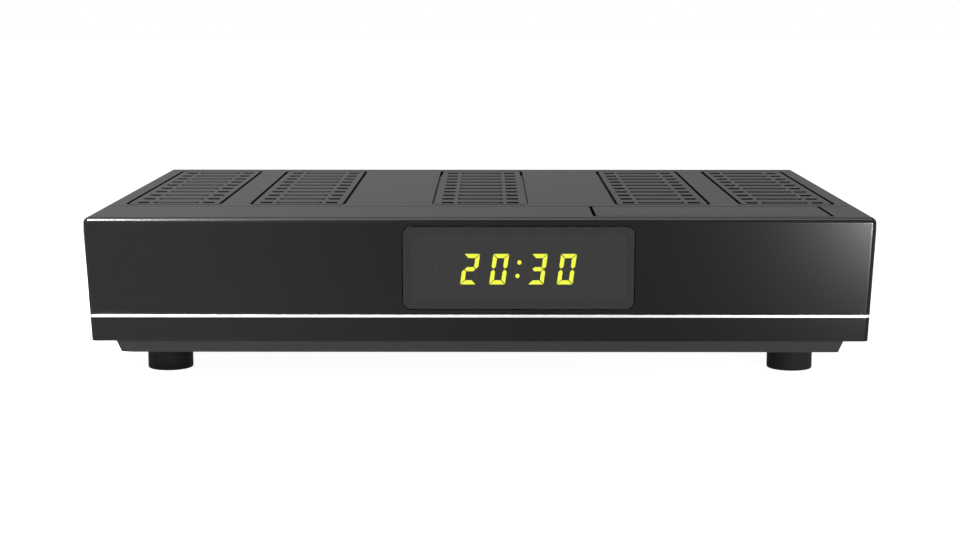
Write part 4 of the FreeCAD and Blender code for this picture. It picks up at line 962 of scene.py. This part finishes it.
stems = []
for low, high in solid_boxes("switch_stems"):
    x, y, _ = middle(low, high)
    radius = (high[0] - low[0]) / 2
    stem = [(low[2], 0), (low[2], radius), (high[2], radius), (high[2], 0)]
    stems.append(turned(rounded_profile(stem, STEM_ROUND), (x, y, 0), "z", sides=32))
make_piece("switch_round_stems", stems, "stem_white", body="switch_stems",
           stands_for=("switch_stems",))

# %% [markdown]
# ## Studio
# A product picture on white is mostly white card: the floor runs into the backdrop, and both are
# mirrored in the object. The floor here is a grey card that is lifted to white where the camera
# looks at it, so that a trace of the shadow stays, and in reflections it is plain white. It could
# be a white card under strong light, but then that light would also fall on the object and wash
# out its blacks.

# %% Floor
FLOOR_HALF = 4.0                  # metres
FLOOR_GREY, FLOOR_ROUGHNESS = 0.3, 0.9
FLOOR_LIFT = 0.96                 # light that the camera sees on top of the lit card
WHITE = (1, 1, 1, 1)


def studio_floor():
    """Large pale floor that keeps a soft shadow and is lifted towards white where it is seen."""
    mesh = bpy.data.meshes.new("floor")
    corners = [(-FLOOR_HALF, -FLOOR_HALF, 0), (FLOOR_HALF, -FLOOR_HALF, 0),
               (FLOOR_HALF, FLOOR_HALF, 0), (-FLOOR_HALF, FLOOR_HALF, 0)]
    mesh.from_pydata(corners, [], [(0, 1, 2, 3)])
    floor = place_object("floor", mesh)
    material = bpy.data.materials.new("floor")
    material.use_nodes = True
    tree = material.node_tree
    shader = tree.nodes["Principled BSDF"]
    shader.inputs["Base Color"].default_value = (FLOOR_GREY, FLOOR_GREY, FLOOR_GREY, 1)
    shader.inputs["Roughness"].default_value = FLOOR_ROUGHNESS
    shader.inputs["Specular IOR Level"].default_value = 0.0
    ray = tree.nodes.new("ShaderNodeLightPath").outputs
    lift = math_node(tree, "MULTIPLY", ray["Is Camera Ray"], FLOOR_LIFT)
    glow = tree.nodes.new("ShaderNodeEmission")
    tree.links.new(lift, glow.inputs["Strength"])
    lifted = tree.nodes.new("ShaderNodeAddShader")
    tree.links.new(shader.outputs[0], lifted.inputs[0])
    tree.links.new(glow.outputs[0], lifted.inputs[1])
    white = tree.nodes.new("ShaderNodeEmission")
    mirrored = math_node(tree, "MAXIMUM", ray["Is Glossy Ray"], ray["Is Transmission Ray"])
    mix = tree.nodes.new("ShaderNodeMixShader")
    tree.links.new(mirrored, mix.inputs[0])
    tree.links.new(lifted.outputs[0], mix.inputs[1])
    tree.links.new(white.outputs[0], mix.inputs[2])
    tree.links.new(mix.outputs[0], tree.nodes["Material Output"].inputs["Surface"])
    mesh.materials.append(material)


studio_floor()

# %% [markdown]
# The world works the same way: white where it is seen or mirrored, and a softer share of it as
# light. The lamps are area lamps, hidden from the camera, with a narrow spread like softboxes
# with a grid. A lamp on a dark gloss surface is only seen where the surface mirrors it, so each
# one is placed by its mirror image.

# %% World and lamps
AMBIENT = 0.6                     # share of the white that lights the object


def studio_world():
    """White surround where it is seen, and a softer share of it as light on the object."""
    world = bpy.data.worlds.new("studio")
    bpy.context.scene.world = world
    world.use_nodes = True
    tree = world.node_tree
    background = tree.nodes["Background"]
    ray = tree.nodes.new("ShaderNodeLightPath").outputs
    seen = math_node(tree, "MAXIMUM", ray["Is Camera Ray"], ray["Is Glossy Ray"])
    seen = math_node(tree, "MAXIMUM", seen, ray["Is Transmission Ray"])
    shown = math_node(tree, "MULTIPLY", seen, 1.0 - AMBIENT)
    tree.links.new(math_node(tree, "ADD", shown, AMBIENT), background.inputs["Strength"])
    background.inputs["Color"].default_value = WHITE


def soft_lamp(name, place, target, along, size, power, spread):
    """Lamp of a size across and up, facing a target, its width turned along a direction.

    Its axes are: back, from the target to the lamp; side, the direction less its share in back;
    and the cross product of the two. Metres, watts, degrees.
    """
    data = bpy.data.lights.new(name, "AREA")
    data.shape = "RECTANGLE"
    data.size, data.size_y = size
    data.energy = power
    data.spread = math.radians(spread)
    lamp = place_object(name, data)
    lamp.location = place
    lamp.visible_camera = False
    back = (Vector(place) - Vector(target)).normalized()
    side = (Vector(along) - back * back.dot(Vector(along))).normalized()
    lamp.rotation_euler = Matrix((side, back.cross(side), back)).transposed().to_euler()


studio_world()

# %% [markdown]
# Three lamps are enough. A long strip at the upper left, slanted back to front, draws the bright
# line on the round between top and front. A wide box overhead keeps that round a little paler all
# along. A small lamp low at the right, beyond the corner, lays the soft glow on the front's right
# end. Its middle is lower than the top of the case, so that a view from behind finds hardly
# anything of it in the top.

# %% Lamps
soft_lamp("left_strip", (-0.25, -0.27, 0.45), (-0.11, -0.08, 0.045), (0, 0.8, 0.6),
          size=(0.40, 0.06), power=1.8, spread=28.0)
soft_lamp("right_lamp", (0.213, -0.362, 0.043), (0.12, -0.08, 0.048), ALONG_X,
          size=(0.05, 0.04), power=0.07, spread=30.0)
soft_lamp("overhead", (0.0, -0.08, 0.60), (0.0, -0.08, 0.045), ALONG_X,
          size=(0.70, 0.26), power=0.55, spread=60.0)
bpy.context.scene.view_settings.view_transform = "Standard"
print("studio lit")
